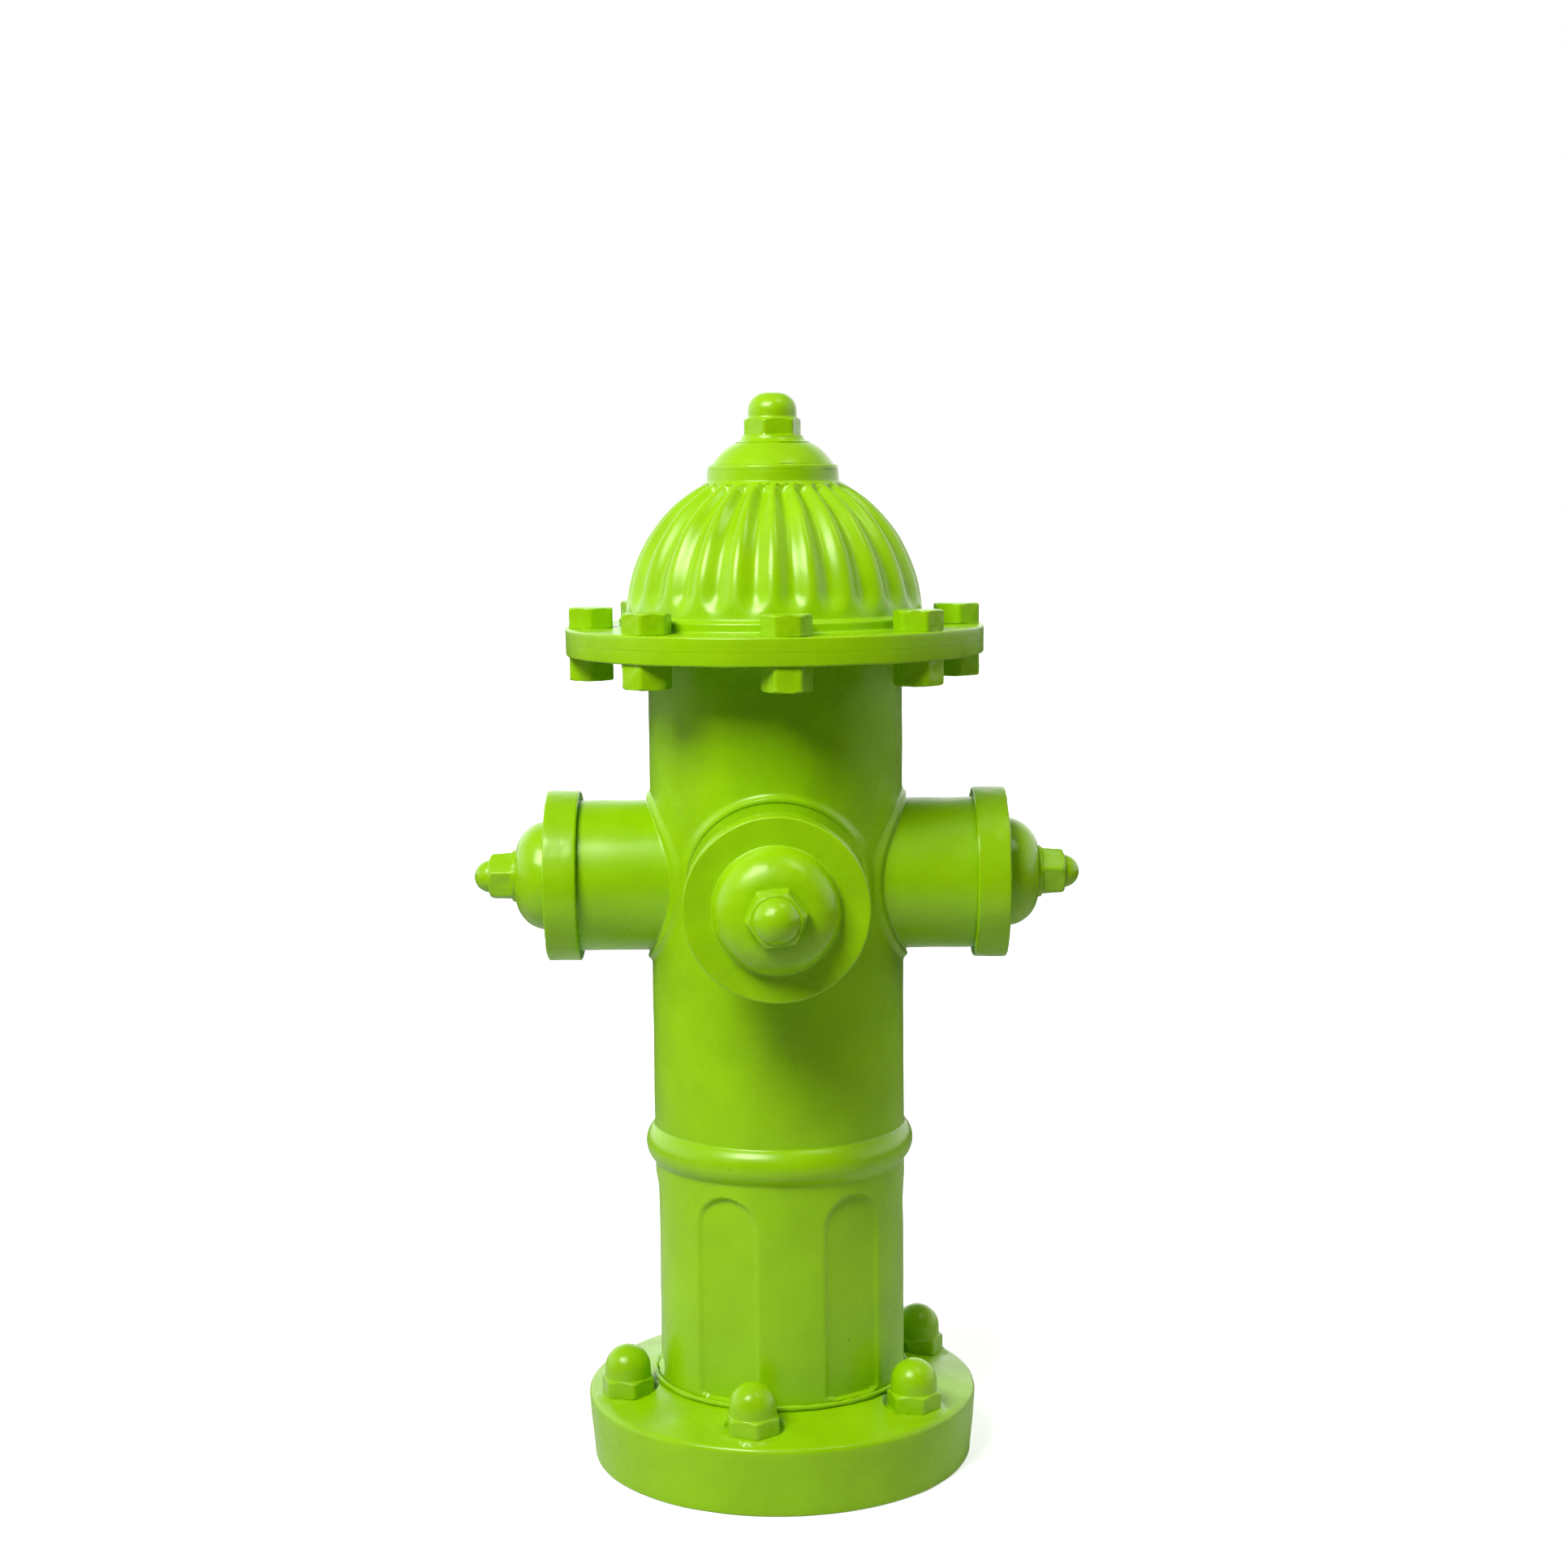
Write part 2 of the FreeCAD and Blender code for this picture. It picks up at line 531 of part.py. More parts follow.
# Outlet nozzles: bronze, screwed into the arms, with a male hose thread outside.
screws = []
for outlet in OUTLETS:
    nozzle = laid(turned("nozzle_blank_" + outlet[0], [
        ("nozzle_bore_r", "nozzle_seat + seat_gap"),
        ("nozzle_body_r", "nozzle_seat + seat_gap"),
        ("nozzle_body_r", "arm_end - 0.6"),
        ("nozzle_thread_r - 2.2", "arm_end - 0.6"),
        ("nozzle_thread_r - 2.2", "arm_end + 1.6"),
        ("nozzle_thread_r", "arm_end + 3"),
        ("nozzle_thread_r", "nozzle_end - 1.5"),
        ("nozzle_thread_r - 1.5", "nozzle_end"),
        ("nozzle_bore_r", "nozzle_end"),
    ]), outlet)
    dimple = rod("nozzle_dimple_" + outlet[0], "screw_r + run_gap", "12", "outlet_z - nozzle_body_r - 10")
    screw = rod("nozzle_screw_" + outlet[0], "screw_r", "12", "outlet_z - nozzle_body_r - 10.2")
    for item in (dimple, screw):
        bind(item, "Placement.Base.x", "%d * (nozzle_seat + 18)" % outlet[1])
        bind(item, "Placement.Base.y", "%d * (nozzle_seat + 18)" % outlet[2])
    screws.append(screw)
    node(cut("nozzle_" + outlet[0], nozzle, [dimple]))
node(grouped("nozzle_set_screws", screws))

# Outlet caps: cast iron, each with a gasket in its floor. The front cap is a larger casting.
CAP_FLOOR = "(nozzle_end + gasket_len + 2 * seat_gap)"
CAP_TOP = "(cap_face + cap_rim_len)"
CAP_CORNERS = {"front": "37", "right": "-12", "left": "14.5"}
for outlet in OUTLETS:
    extra = "1" if outlet[0] == "front" else "0"
    rim = "(cap_rim_r + %s * front_rim_extra)" % extra
    crown = "(cap_dome_r + %s * front_dome_extra)" % extra
    corner = "(cap_hex_r + %s * front_hex_extra)" % extra
    tip = "(cap_tip_r + %s * front_tip_extra)" % extra
    crown_centre = "(%s - cap_crown_r)" % crown
    cap = turned("cap_blank_" + outlet[0], [
        ("nozzle_thread_r + cap_thread_gap", "cap_face"),
        (rim + " - 1.2", "cap_face"),
        (rim, "cap_face + 1.2"),
        (rim, CAP_TOP + " - cap_edge"),
        (rim + " - cap_edge", CAP_TOP, rim + " - cap_edge", CAP_TOP + " - cap_edge"),
        (crown, CAP_TOP),
        ("cap_neck_r", "%s + sqrt(cap_crown_r ^ 2 - (cap_neck_r - %s) ^ 2)" % (CAP_TOP, crown_centre),
         crown_centre, CAP_TOP),
        ("cap_neck_r", "cap_hex_start + 1"),
        (tip, "cap_hex_start + 1"),
        (tip, "cap_tip_end - " + tip),
        ("0", "cap_tip_end", "0", "cap_tip_end - " + tip),
        ("0", CAP_TOP + " + cap_crown_r - 10"),
        ("cap_neck_r + 5", CAP_TOP + " + cap_crown_r - 10"),
        ("nozzle_bore_r - 4", CAP_FLOOR),
        ("nozzle_thread_r + cap_thread_gap", CAP_FLOOR),
    ])
    grip = hexagon("cap_grip_" + outlet[0], corner, "cap_hex_end - cap_hex_start", "cap_hex_start",
                   CAP_CORNERS[outlet[0]])
    node(laid(fused("cap_" + outlet[0], [cap, grip]), outlet))
    node(laid(turned("cap_gasket_" + outlet[0], [
        ("nozzle_bore_r - 2", "nozzle_end + seat_gap"),
        ("nozzle_thread_r - 0.4", "nozzle_end + seat_gap"),
        ("nozzle_thread_r - 0.4", "nozzle_end + seat_gap + gasket_len"),
        ("nozzle_bore_r - 2", "nozzle_end + seat_gap + gasket_len"),
    ]), outlet))

# Bonnet: cast iron dome with twenty-four flutes, a step, the upper bolted flange and the neck.
JOINT = "joint_z"
PLATE_TOP = "(%s + seal_plate_len + seat_gap)" % JOINT
STEP_TOP = "(joint_z + flange_len + step_len)"
CAVITY_R = "(dome_r - dome_wall)"
bonnet_body = turned("bonnet_casting", [
    ("seal_plate_r + run_gap", JOINT + " + seat_gap"),
    ("flange_r", JOINT + " + seat_gap"),
    ("flange_r", JOINT + " + flange_len - flange_edge"),
    ("flange_r - flange_edge", JOINT + " + flange_len"),
    ("step_r", JOINT + " + flange_len"),
    ("step_r", STEP_TOP + " - 2"),
    ("step_r - 2", STEP_TOP),
    ("sqrt(dome_r ^ 2 - (%s - dome_z) ^ 2)" % STEP_TOP, STEP_TOP),
    ("sqrt(dome_r ^ 2 - (neck_low_z - dome_z) ^ 2)", "neck_low_z", "0", "dome_z"),
    ("neck_r", "neck_low_z + 3"),
    ("neck_r - 0.6", "neck_top_z - 1.5"),
    ("neck_r - 2.1", "neck_top_z"),
    ("neck_bore_r", "neck_top_z"),
    ("neck_bore_r", "shelf_z"),
    ("shelf_bore_r", "shelf_z"),
    ("shelf_bore_r", "shelf_low_z"),
    ("sqrt(%s ^ 2 - (shelf_low_z - dome_z) ^ 2)" % CAVITY_R, "shelf_low_z"),
    ("sqrt(%s ^ 2 - (%s - dome_z) ^ 2)" % (CAVITY_R, PLATE_TOP), PLATE_TOP, "0", "dome_z"),
    ("seal_plate_r + run_gap", PLATE_TOP),
])
flute_sketch = outline_sketch(bonnet_body, "flute_outline", [
    ("sqrt((dome_r - flute_depth) ^ 2 - (flute_low_z - dome_z) ^ 2)", "flute_low_z", "0", "dome_z"),
    ("dome_r + 8", "flute_low_z"),
    ("dome_r + 8", "neck_low_z"),
    ("sqrt((dome_r - flute_depth) ^ 2 - (neck_low_z - dome_z) ^ 2)", "neck_low_z"),
])
flute_sketch.AttachmentOffset = FreeCAD.Placement(V3(0, 0, 0), FreeCAD.Rotation(V3(0, 1, 0), 7.5))
bind(flute_sketch, "AttachmentOffset.Rotation.Angle", "flute_first")
flute = bonnet_body.newObject("PartDesign::Groove", "flute")
flute.Profile = flute_sketch
flute.ReferenceAxis = (flute_sketch, ["V_Axis"])
flute.Midplane = True
bind(flute, "Angle", "flute_width")
bonnet_body.Tip = flute
doc.recompute()
flutes = bonnet_body.newObject("PartDesign::PolarPattern", "flutes")
flutes.Originals = [flute]
flutes.Axis = (flute_sketch, ["V_Axis"])
flutes.Angle = 360
bind(flutes, "Occurrences", "flute_count")
bonnet_body.Tip = flutes
doc.recompute()
bonnet_holes = []
for index, angle in enumerate(bolt_angles):
    hole = rod("bonnet_bolt_hole_%d" % index, "bolt_hole_r", "flange_len + 20")
    round_axis(hole, "bolt_circle_r", angle, JOINT + " - 10")
    bonnet_holes.append(hole)
node(cut("bonnet", bonnet_body, bonnet_holes))

# Bonnet gasket: a flat ring in the recess of the barrel flange.
node(turned("bonnet_gasket", [
    ("seal_plate_r + 2.3", JOINT + " - 1.5 + seat_gap / 2"),
    ("bolt_circle_r - bolt_hole_r - 2.3", JOINT + " - 1.5 + seat_gap / 2"),
    ("bolt_circle_r - bolt_hole_r - 2.3", JOINT + " + seat_gap / 2"),
    ("seal_plate_r + 2.3", JOINT + " + seat_gap / 2"),
]))

# Bonnet bolts and nuts: M22, heads on top with a flat facing outward.
bolts = []
nuts = []
for index, angle in enumerate(bolt_angles):
    head = hexagon("bolt_head_%d" % index, "bolt_hex_r", "bolt_head_len", "0", "30")
    shank = rod("bolt_shank_%d" % index, "bolt_r", "2 * flange_len + bolt_nut_len + 2",
                "-2 * flange_len - bolt_nut_len - 1")
    bolt = fused("bolt_%d" % index, [head, shank])
    round_axis(bolt, "bolt_circle_r", angle, JOINT + " + flange_len + seat_gap")
    bolts.append(bolt)
    ring = hexagon("bolt_nut_blank_%d" % index, "bolt_hex_r", "bolt_nut_len", "0", "30")
    bore = rod("bolt_nut_bore_%d" % index, "bolt_r + run_gap", "bolt_nut_len + 4", "-2")
    nut = cut("bolt_nut_%d" % index, ring, [bore])
    round_axis(nut, "bolt_circle_r", angle, "flange_z - bolt_nut_len - seat_gap")
    nuts.append(nut)
node(grouped("bonnet_bolts", bolts))
node(grouped("bonnet_nuts", nuts))

# Seal plate: bronze plate between the two flanges, with a hub that seals on the stem.
RING_R = "(stem_r + 0.2 + ring_section)"
RING_SLOTS = (JOINT + " + 7.5", "seal_hub_z - 9.5")
hub_outline = [
    ("stem_r + run_gap", JOINT + " + seat_gap"),
    ("seal_plate_r", JOINT + " + seat_gap"),
    ("seal_plate_r", JOINT + " + seal_plate_len"),
    ("seal_hub_r + 6", JOINT + " + seal_plate_len"),
    ("seal_hub_r", JOINT + " + seal_plate_len + 6"),
    ("seal_hub_r", "seal_hub_z - 1"),
    ("seal_hub_r - 1", "seal_hub_z"),
    ("stem_r + run_gap", "seal_hub_z"),
]
for slot in reversed(RING_SLOTS):
    hub_outline += [
        ("stem_r + run_gap", slot + " + ring_section + 0.3"),
        (RING_R + " + ring_section + 0.2", slot + " + ring_section + 0.3"),
        (RING_R + " + ring_section + 0.2", slot + " - ring_section - 0.3"),
        ("stem_r + run_gap", slot + " - ring_section - 0.3"),
    ]
node(turned("seal_plate", hub_outline))
rings = []
for index, slot in enumerate(RING_SLOTS):
    ring = doc.addObject("Part::Torus", "stem_ring_%d" % index)
    bind(ring, "Radius1", RING_R)
    bind(ring, "Radius2", "ring_section")
    bind(ring, "Placement.Base.z", slot)
    rings.append(ring)
node(grouped("stem_seal_rings", rings))

# Operating nut: bronze, hexagon and dome outside, a thrust collar, threaded inside for the stem.
COLLAR_Z = "(shelf_z + washer_len + 2 * seat_gap)"
SPIGOT_Z = "(%s + collar_len + washer_len + 2 * seat_gap)" % COLLAR_Z
nut_body = turned("operating_nut_turned", [
    ("stem_r + run_gap", "sleeve_low_z"),
    ("shaft_r", "sleeve_low_z"),
    ("shaft_r", COLLAR_Z),
    ("collar_r", COLLAR_Z),
    ("collar_r", COLLAR_Z + " + collar_len"),
    ("shaft_r", COLLAR_Z + " + collar_len"),
    ("shaft_r", "hex_z + 1"),
    ("tip_r", "hex_z + 1"),
    ("tip_r", "top_z - tip_edge"),
    ("tip_r - tip_edge", "top_z", "tip_r - tip_edge", "top_z - tip_edge"),
    ("0", "top_z"),
    ("0", "stem_top_z + 3"),
    ("stem_r + run_gap", "stem_top_z + 3"),
])
nut_hex = hexagon("operating_nut_hex", "hex_r", "hex_len", "hex_z", "hex_turn")
nut_bore = rod("operating_nut_bore", "stem_r + run_gap", "hex_len + 10", "hex_z - 5")
node(fused("operating_nut", [nut_body, cut("operating_nut_grip", nut_hex, [nut_bore])]))

# Thrust washers: one under the collar and one over it.
for name, low in (("thrust_washer_lower", "shelf_z + seat_gap"),
                  ("thrust_washer_upper", COLLAR_Z + " + collar_len + seat_gap")):
    node(turned(name, [
        ("shaft_r + 0.6", low),
        ("washer_r", low),
        ("washer_r", low + " + washer_len"),
        ("shaft_r + 0.6", low + " + washer_len"),
    ]))

# Hold-down nut: bell-shaped, screwed into the neck over the thrust collar, with a seal on the shaft.
BELL_X = "(bell_r + 6.6 - bell_crown_r)"
BELL_Z = "(neck_top_z - 23.8)"
SLOT_Z = "(neck_top_z + 7.3)"
node(turned("hold_down_nut", [
    ("shaft_r + run_gap", SPIGOT_Z),
    ("neck_bore_r - run_gap", SPIGOT_Z),
    ("neck_bore_r - run_gap", "neck_top_z + seat_gap"),
    ("bell_r", "neck_top_z + seat_gap"),
    ("%s + sqrt(bell_crown_r ^ 2 - (neck_top_z + 3 - %s) ^ 2)" % (BELL_X, BELL_Z), "neck_top_z + 3"),
    ("%s + sqrt(bell_crown_r ^ 2 - (bell_top_z - %s) ^ 2)" % (BELL_X, BELL_Z), "bell_top_z", BELL_X, BELL_Z),
    ("shaft_r + run_gap", "bell_top_z"),
    ("shaft_r + run_gap", SLOT_Z + " + 2.3"),
    ("shaft_r + 4.6", SLOT_Z + " + 2.3"),
    ("shaft_r + 4.6", SLOT_Z + " - 2.3"),
    ("shaft_r + run_gap", SLOT_Z + " - 2.3"),
]))
nut_ring = doc.addObject("Part::Torus", "hold_down_seal_ring")
bind(nut_ring, "Radius1", "shaft_r + 0.3 + 2")
bind(nut_ring, "Radius2", "2")
bind(nut_ring, "Placement.Base.z", SLOT_Z)
node(nut_ring)

# Stem: two steel rods held end to end by a pinned sleeve, with a stop nut below the operating nut.
pins = []
pin_holes = {"upper": [], "lower": [], "sleeve": []}
for side, way in (("upper", 1), ("lower", -1)):
    level = "stem_joint_z + %d * pin_offset" % way
    pin = laid(rod("coupling_pin_" + side, "pin_r", "2 * sleeve_r + 4"), OUTLETS[1])
    bind(pin, "Placement.Base.x", "-sleeve_r - 2")
    bind(pin, "Placement.Base.z", level)
    pins.append(pin)
    for owner in (side, "sleeve"):
        hole = laid(rod("pin_hole_%s_%s" % (owner, side), "pin_r + run_gap", "2 * sleeve_r + 20"), OUTLETS[1])
        bind(hole, "Placement.Base.x", "-sleeve_r - 10")
        bind(hole, "Placement.Base.z", level)
        pin_holes[owner].append(hole)
upper_rod = rod("upper_stem_rod", "stem_r", "stem_top_z - stem_joint_z - seat_gap", "stem_joint_z + seat_gap")
node(cut("upper_stem", upper_rod, pin_holes["upper"]))
lower_rod = rod("lower_stem_rod", "stem_r", "stem_joint_z - stem_low_z - seat_gap", "stem_low_z")
node(cut("lower_stem", lower_rod, pin_holes["lower"]))
sleeve = turned("coupling_sleeve", [
    ("stem_r + run_gap", "stem_joint_z - sleeve_half"),
    ("sleeve_r - 2", "stem_joint_z - sleeve_half"),
    ("sleeve_r", "stem_joint_z - sleeve_half + 2"),
    ("sleeve_r", "stem_joint_z - 3"),
    ("sleeve_r - 2.5", "stem_joint_z - 2"),
    ("sleeve_r - 2.5", "stem_joint_z + 2"),
    ("sleeve_r", "stem_joint_z + 3"),
    ("sleeve_r", "stem_joint_z + sleeve_half - 2"),
    ("sleeve_r - 2", "stem_joint_z + sleeve_half"),
    ("stem_r + run_gap", "stem_joint_z + sleeve_half"),
])
node(cut("stem_coupling", sleeve, pin_holes["sleeve"]))
node(grouped("coupling_pins", pins))
stop_blank = hexagon("stop_nut_blank", "stop_r", "stop_len", "seal_hub_z + travel + 0.5")
stop_bore = rod("stop_nut_bore", "stem_r + run_gap", "stop_len + 4", "seal_hub_z + travel - 1.5")
node(cut("stop_nut", stop_blank, [stop_bore]))

# Seat ring: bronze, screwed down into the land of the barrel.
node(turned("seat_ring", [
    ("seat_bore_r", "seat_low_z"),
    ("seat_bore_r + 4", "seat_low_z"),
    ("land_r - run_gap", "seat_low_z + 5"),
    ("land_r - run_gap", "land_z + land_len + seat_gap"),
    ("seat_flange_r", "land_z + land_len + seat_gap"),
    ("seat_flange_r", "land_z + land_len + seat_flange_len"),
    ("seat_bore_r + 6", "land_z + land_len + seat_flange_len"),
    ("seat_bore_r", "land_z + land_len"),
]))

# Main valve: a rubber disc between two plates, drawn up against the seat ring and held by a lock nut.
DISC_TOP = "(seat_low_z - 2 * seat_gap)"
node(turned("valve_upper_plate", [
    ("stem_r + run_gap", DISC_TOP + " + seat_gap"),
    ("seat_bore_r - 2 * run_gap", DISC_TOP + " + seat_gap"),
    ("seat_bore_r - 2 * run_gap", DISC_TOP + " + 7"),
    ("stem_r + 12", DISC_TOP + " + upper_plate_len"),
    ("stem_r + run_gap", DISC_TOP + " + upper_plate_len"),
]))
node(turned("valve_disc", [
    ("stem_r + run_gap", DISC_TOP + " - valve_disc_len"),
    ("valve_disc_r - 4", DISC_TOP + " - valve_disc_len"),
    ("valve_disc_r", DISC_TOP + " - valve_disc_len + 4"),
    ("valve_disc_r", DISC_TOP + " - 3"),
    ("valve_disc_r - 3", DISC_TOP),
    ("stem_r + run_gap", DISC_TOP),
]))
PLATE_LOW = "(%s - valve_disc_len - seat_gap - lower_plate_len)" % DISC_TOP
node(turned("valve_lower_plate", [
    ("stem_r + run_gap", PLATE_LOW),
    ("lock_nut_r + 6", PLATE_LOW),
    ("lower_plate_r", PLATE_LOW + " + 8"),
    ("lower_plate_r", PLATE_LOW + " + lower_plate_len"),
    ("stem_r + run_gap", PLATE_LOW + " + lower_plate_len"),
]))
LOCK_LOW = PLATE_LOW + " - lock_nut_len - seat_gap"
lock_blank = hexagon("valve_lock_nut_blank", "lock_nut_r", "lock_nut_len", LOCK_LOW)
lock_bore = rod("valve_lock_nut_bore", "stem_r + run_gap", "lock_nut_len + 4", LOCK_LOW + " - 2")
node(cut("valve_lock_nut", lock_blank, [lock_bore]))

# Check every object, then write one file for each node.
doc.recompute()
for item in doc.Objects:
    if "Invalid" in item.State or "Error" in item.State:
        raise RuntimeError("not computed: " + item.Name)
os.makedirs("parts", exist_ok=True)
for item in NODES:
    if item.Shape.isNull() or not item.Shape.isValid():
        raise RuntimeError("bad shape: " + item.Label)
    item.Shape.exportStep("parts/%s.step" % item.Label)
print("nodes", len(NODES))
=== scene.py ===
import json
import math
import bmesh
import bpy
import numpy as np
from mathutils import Matrix, Vector


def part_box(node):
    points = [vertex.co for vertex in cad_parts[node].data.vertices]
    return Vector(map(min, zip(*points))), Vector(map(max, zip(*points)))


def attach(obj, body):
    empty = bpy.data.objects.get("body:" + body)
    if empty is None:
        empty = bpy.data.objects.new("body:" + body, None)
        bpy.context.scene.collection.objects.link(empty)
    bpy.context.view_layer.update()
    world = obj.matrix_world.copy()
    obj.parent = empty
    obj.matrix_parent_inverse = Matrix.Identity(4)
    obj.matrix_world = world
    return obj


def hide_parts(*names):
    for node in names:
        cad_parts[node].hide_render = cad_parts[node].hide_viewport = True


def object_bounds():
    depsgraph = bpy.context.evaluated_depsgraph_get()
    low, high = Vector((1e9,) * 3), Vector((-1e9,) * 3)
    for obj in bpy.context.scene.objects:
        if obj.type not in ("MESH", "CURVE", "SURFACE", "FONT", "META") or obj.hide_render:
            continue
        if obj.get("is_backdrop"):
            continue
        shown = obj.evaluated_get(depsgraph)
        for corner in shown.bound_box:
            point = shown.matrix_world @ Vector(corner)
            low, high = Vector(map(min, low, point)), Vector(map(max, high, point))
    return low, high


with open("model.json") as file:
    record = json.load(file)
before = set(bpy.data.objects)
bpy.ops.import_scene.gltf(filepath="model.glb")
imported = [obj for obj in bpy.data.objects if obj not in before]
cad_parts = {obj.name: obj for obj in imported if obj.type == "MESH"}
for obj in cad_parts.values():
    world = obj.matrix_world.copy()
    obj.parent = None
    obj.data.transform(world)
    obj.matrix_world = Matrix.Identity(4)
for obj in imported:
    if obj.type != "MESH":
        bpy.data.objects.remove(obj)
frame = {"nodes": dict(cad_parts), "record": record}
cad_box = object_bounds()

# ---------------------------------------------------------------------------------------------
# Studio: the hydrant stands on white paper, seen from the front at chest height. A broad soft box
# hangs in front of it on the left and a weak one above it on the right. The walls behind and beside
# it are white. The ceiling and the wall behind the camera are dark, so the front isn't washed out.
scene = bpy.context.scene
scene.view_settings.view_transform = "Standard"
camera = bpy.data.objects.new("camera", bpy.data.cameras.new("camera"))
scene.collection.objects.link(camera)
camera.data.sensor_width = 36.0
camera.data.lens = 59.82
eye = (0.0063, -2.0509, 0.7824)
tilt, roll = 6.671, -0.5624
camera.matrix_world = (Matrix.Translation(eye)
                       @ Matrix.Rotation(math.radians(90 - tilt), 4, "X")
                       @ Matrix.Rotation(math.radians(roll), 4, "Z"))
scene.camera = camera

smooth_step = {"interpolation_type": "SMOOTHSTEP"}
colour_mix = {"data_type": "RGBA"}


def put(tree, kind, settings, inputs):
    # adds a node with its settings; each input takes a value, a socket, or a node's first output
    item = tree.nodes.new(kind)
    for name, value in settings.items():
        setattr(item, name, value)
    for name, value in (inputs.items() if isinstance(inputs, dict) else enumerate(inputs)):
        if isinstance(value, bpy.types.Node):
            value = value.outputs[0]
        if isinstance(value, bpy.types.NodeSocket):
            tree.links.new(value, item.inputs[name])
        elif value is not None:
            item.inputs[name].default_value = value
    return item


def colour(text):
    # an sRGB hex value as linear red, green, blue and alpha
    parts = [int(text[place:place + 2], 16) / 255 for place in (1, 3, 5)]
    linear = [part / 12.92 if part <= 0.04045 else ((part + 0.055) / 1.055) ** 2.4 for part in parts]
    return linear + [1.0]


def new_material(name):
    material = bpy.data.materials.new(name)
    material.use_nodes = True
    material.node_tree.nodes.clear()
    return material, material.node_tree


world = bpy.data.worlds.new("studio")
scene.world = world
world.use_nodes = True
tree = world.node_tree
tree.nodes.clear()
seen = put(tree, "ShaderNodeLightPath", {}, {})
aim = put(tree, "ShaderNodeTexCoord", {}, {})
aim = put(tree, "ShaderNodeSeparateXYZ", {}, [aim.outputs["Generated"]])
sides = put(tree, "ShaderNodeMapRange", smooth_step, [aim.outputs[1], -0.6, 0.1, 0.05, 1.6])
ceiling = put(tree, "ShaderNodeMapRange", smooth_step, [aim.outputs[2], 0.25, 0.8, 1.0, 0.12])
sides = put(tree, "ShaderNodeMath", {"operation": "MULTIPLY"}, [sides, ceiling])
walls = put(tree, "ShaderNodeBackground", {}, [colour("#FFFFFF"), sides])
backdrop = put(tree, "ShaderNodeBackground", {}, [colour("#FFFFFF"), 1.0])
either = put(tree, "ShaderNodeMixShader", {}, [seen.outputs["Is Camera Ray"], walls, backdrop])
put(tree, "ShaderNodeOutputWorld", {}, [either])

middle = Vector((0, 0, 0.45))
for name, place, size, power in (
        ("soft_box_left", (-1.1, -1.62, 2.4), (1.3, 1.1), 84),
        ("soft_box_right", (0.95, -0.7, 2.8), (0.45, 0.9), 8)):
    lamp = bpy.data.lights.new(name, "AREA")
    lamp.shape = "RECTANGLE"
    lamp.size, lamp.size_y = size
    lamp.energy = power
    holder = bpy.data.objects.new(name, lamp)
    holder.location = place
    holder.rotation_euler = (middle - Vector(place)).to_track_quat("-Z", "Y").to_euler()
    scene.collection.objects.link(holder)

# Matt white paper: rough, with a faint cloudiness. A glow keeps it white to the eye, and the light
# that it throws back on the hydrant falls off with distance.
paper, tree = new_material("matt_white_paper")
spot = put(tree, "ShaderNodeTexCoord", {}, {})
cloud = put(tree, "ShaderNodeTexNoise", {}, {"Vector": spot.outputs["Object"], "Scale": 2.0, "Detail": 2.0})
tone = put(tree, "ShaderNodeMix", colour_mix, {0: cloud, 6: colour("#E4E4E4"), 7: colour("#EAEAEA")})
seen = put(tree, "ShaderNodeLightPath", {}, {})
away = put(tree, "ShaderNodeVectorMath", {"operation": "LENGTH"}, [spot.outputs["Object"]]).outputs["Value"]
glow = put(tree, "ShaderNodeMapRange", smooth_step, [away, 0.25, 0.9, 0.6, 1.0])
glow = put(tree, "ShaderNodeMath", {"operation": "MULTIPLY"}, [seen.outputs["Is Camera Ray"], glow])
bounce = put(tree, "ShaderNodeMapRange", smooth_step, [away, 0.6, 1.6, 0.74, 0.1])
bounce = put(tree, "ShaderNodeMath", {"operation": "MAXIMUM"}, [bounce, seen.outputs["Is Camera Ray"]])
tone = put(tree, "ShaderNodeMix", colour_mix, {0: bounce, 6: colour("#000000"), 7: tone.outputs[2]})
sheet = put(tree, "ShaderNodeBsdfPrincipled", {}, {
    "Base Color": tone.outputs[2], "Roughness": 0.9, "Specular IOR Level": 0.1,
    "Emission Color": colour("#FFFFFF"), "Emission Strength": glow})
put(tree, "ShaderNodeOutputMaterial", {}, [sheet])
bpy.ops.mesh.primitive_plane_add(size=60, location=(0, 0, cad_box[0][2] - 0.0002))
floor = bpy.context.object
floor.name = "floor"
floor.data.materials.append(paper)
floor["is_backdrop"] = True

# ---------------------------------------------------------------------------------------------
# Foot: a grey iron sand casting, a drafted disc with a sloped top, five spot faces and a socket.
# It is brushed with lime green alkyd enamel, thick enough to round every edge.
MM = 0.001


def soften(corners, pieces=5):
    # rounds the corners of a closed outline of (radius, height, rounding), in millimetres
    points = []
    for index, (x, y, radius) in enumerate(corners):
        here = np.array((x, y), float)
        if not radius:
            points.append(here)
            continue
        back = np.array(corners[index - 1][:2], float) - here
        ahead = np.array(corners[(index + 1) % len(corners)][:2], float) - here
        back_long, ahead_long = np.linalg.norm(back), np.linalg.norm(ahead)
        back, ahead = back / back_long, ahead / ahead_long
        half = math.acos(max(-1.0, min(1.0, float(back @ ahead)))) / 2
        reach = min(radius / math.tan(half), 0.49 * back_long, 0.49 * ahead_long)
        radius = reach * math.tan(half)
        centre = here + (back + ahead) / np.linalg.norm(back + ahead) * radius / math.sin(half)
        start, stop = here + back * reach - centre, here + ahead * reach - centre
        for step in range(pieces + 1):
            share = step / pieces
            bend = start * (1 - share) + stop * share
            points.append(centre + bend / np.linalg.norm(bend) * radius)
    return np.array(points)


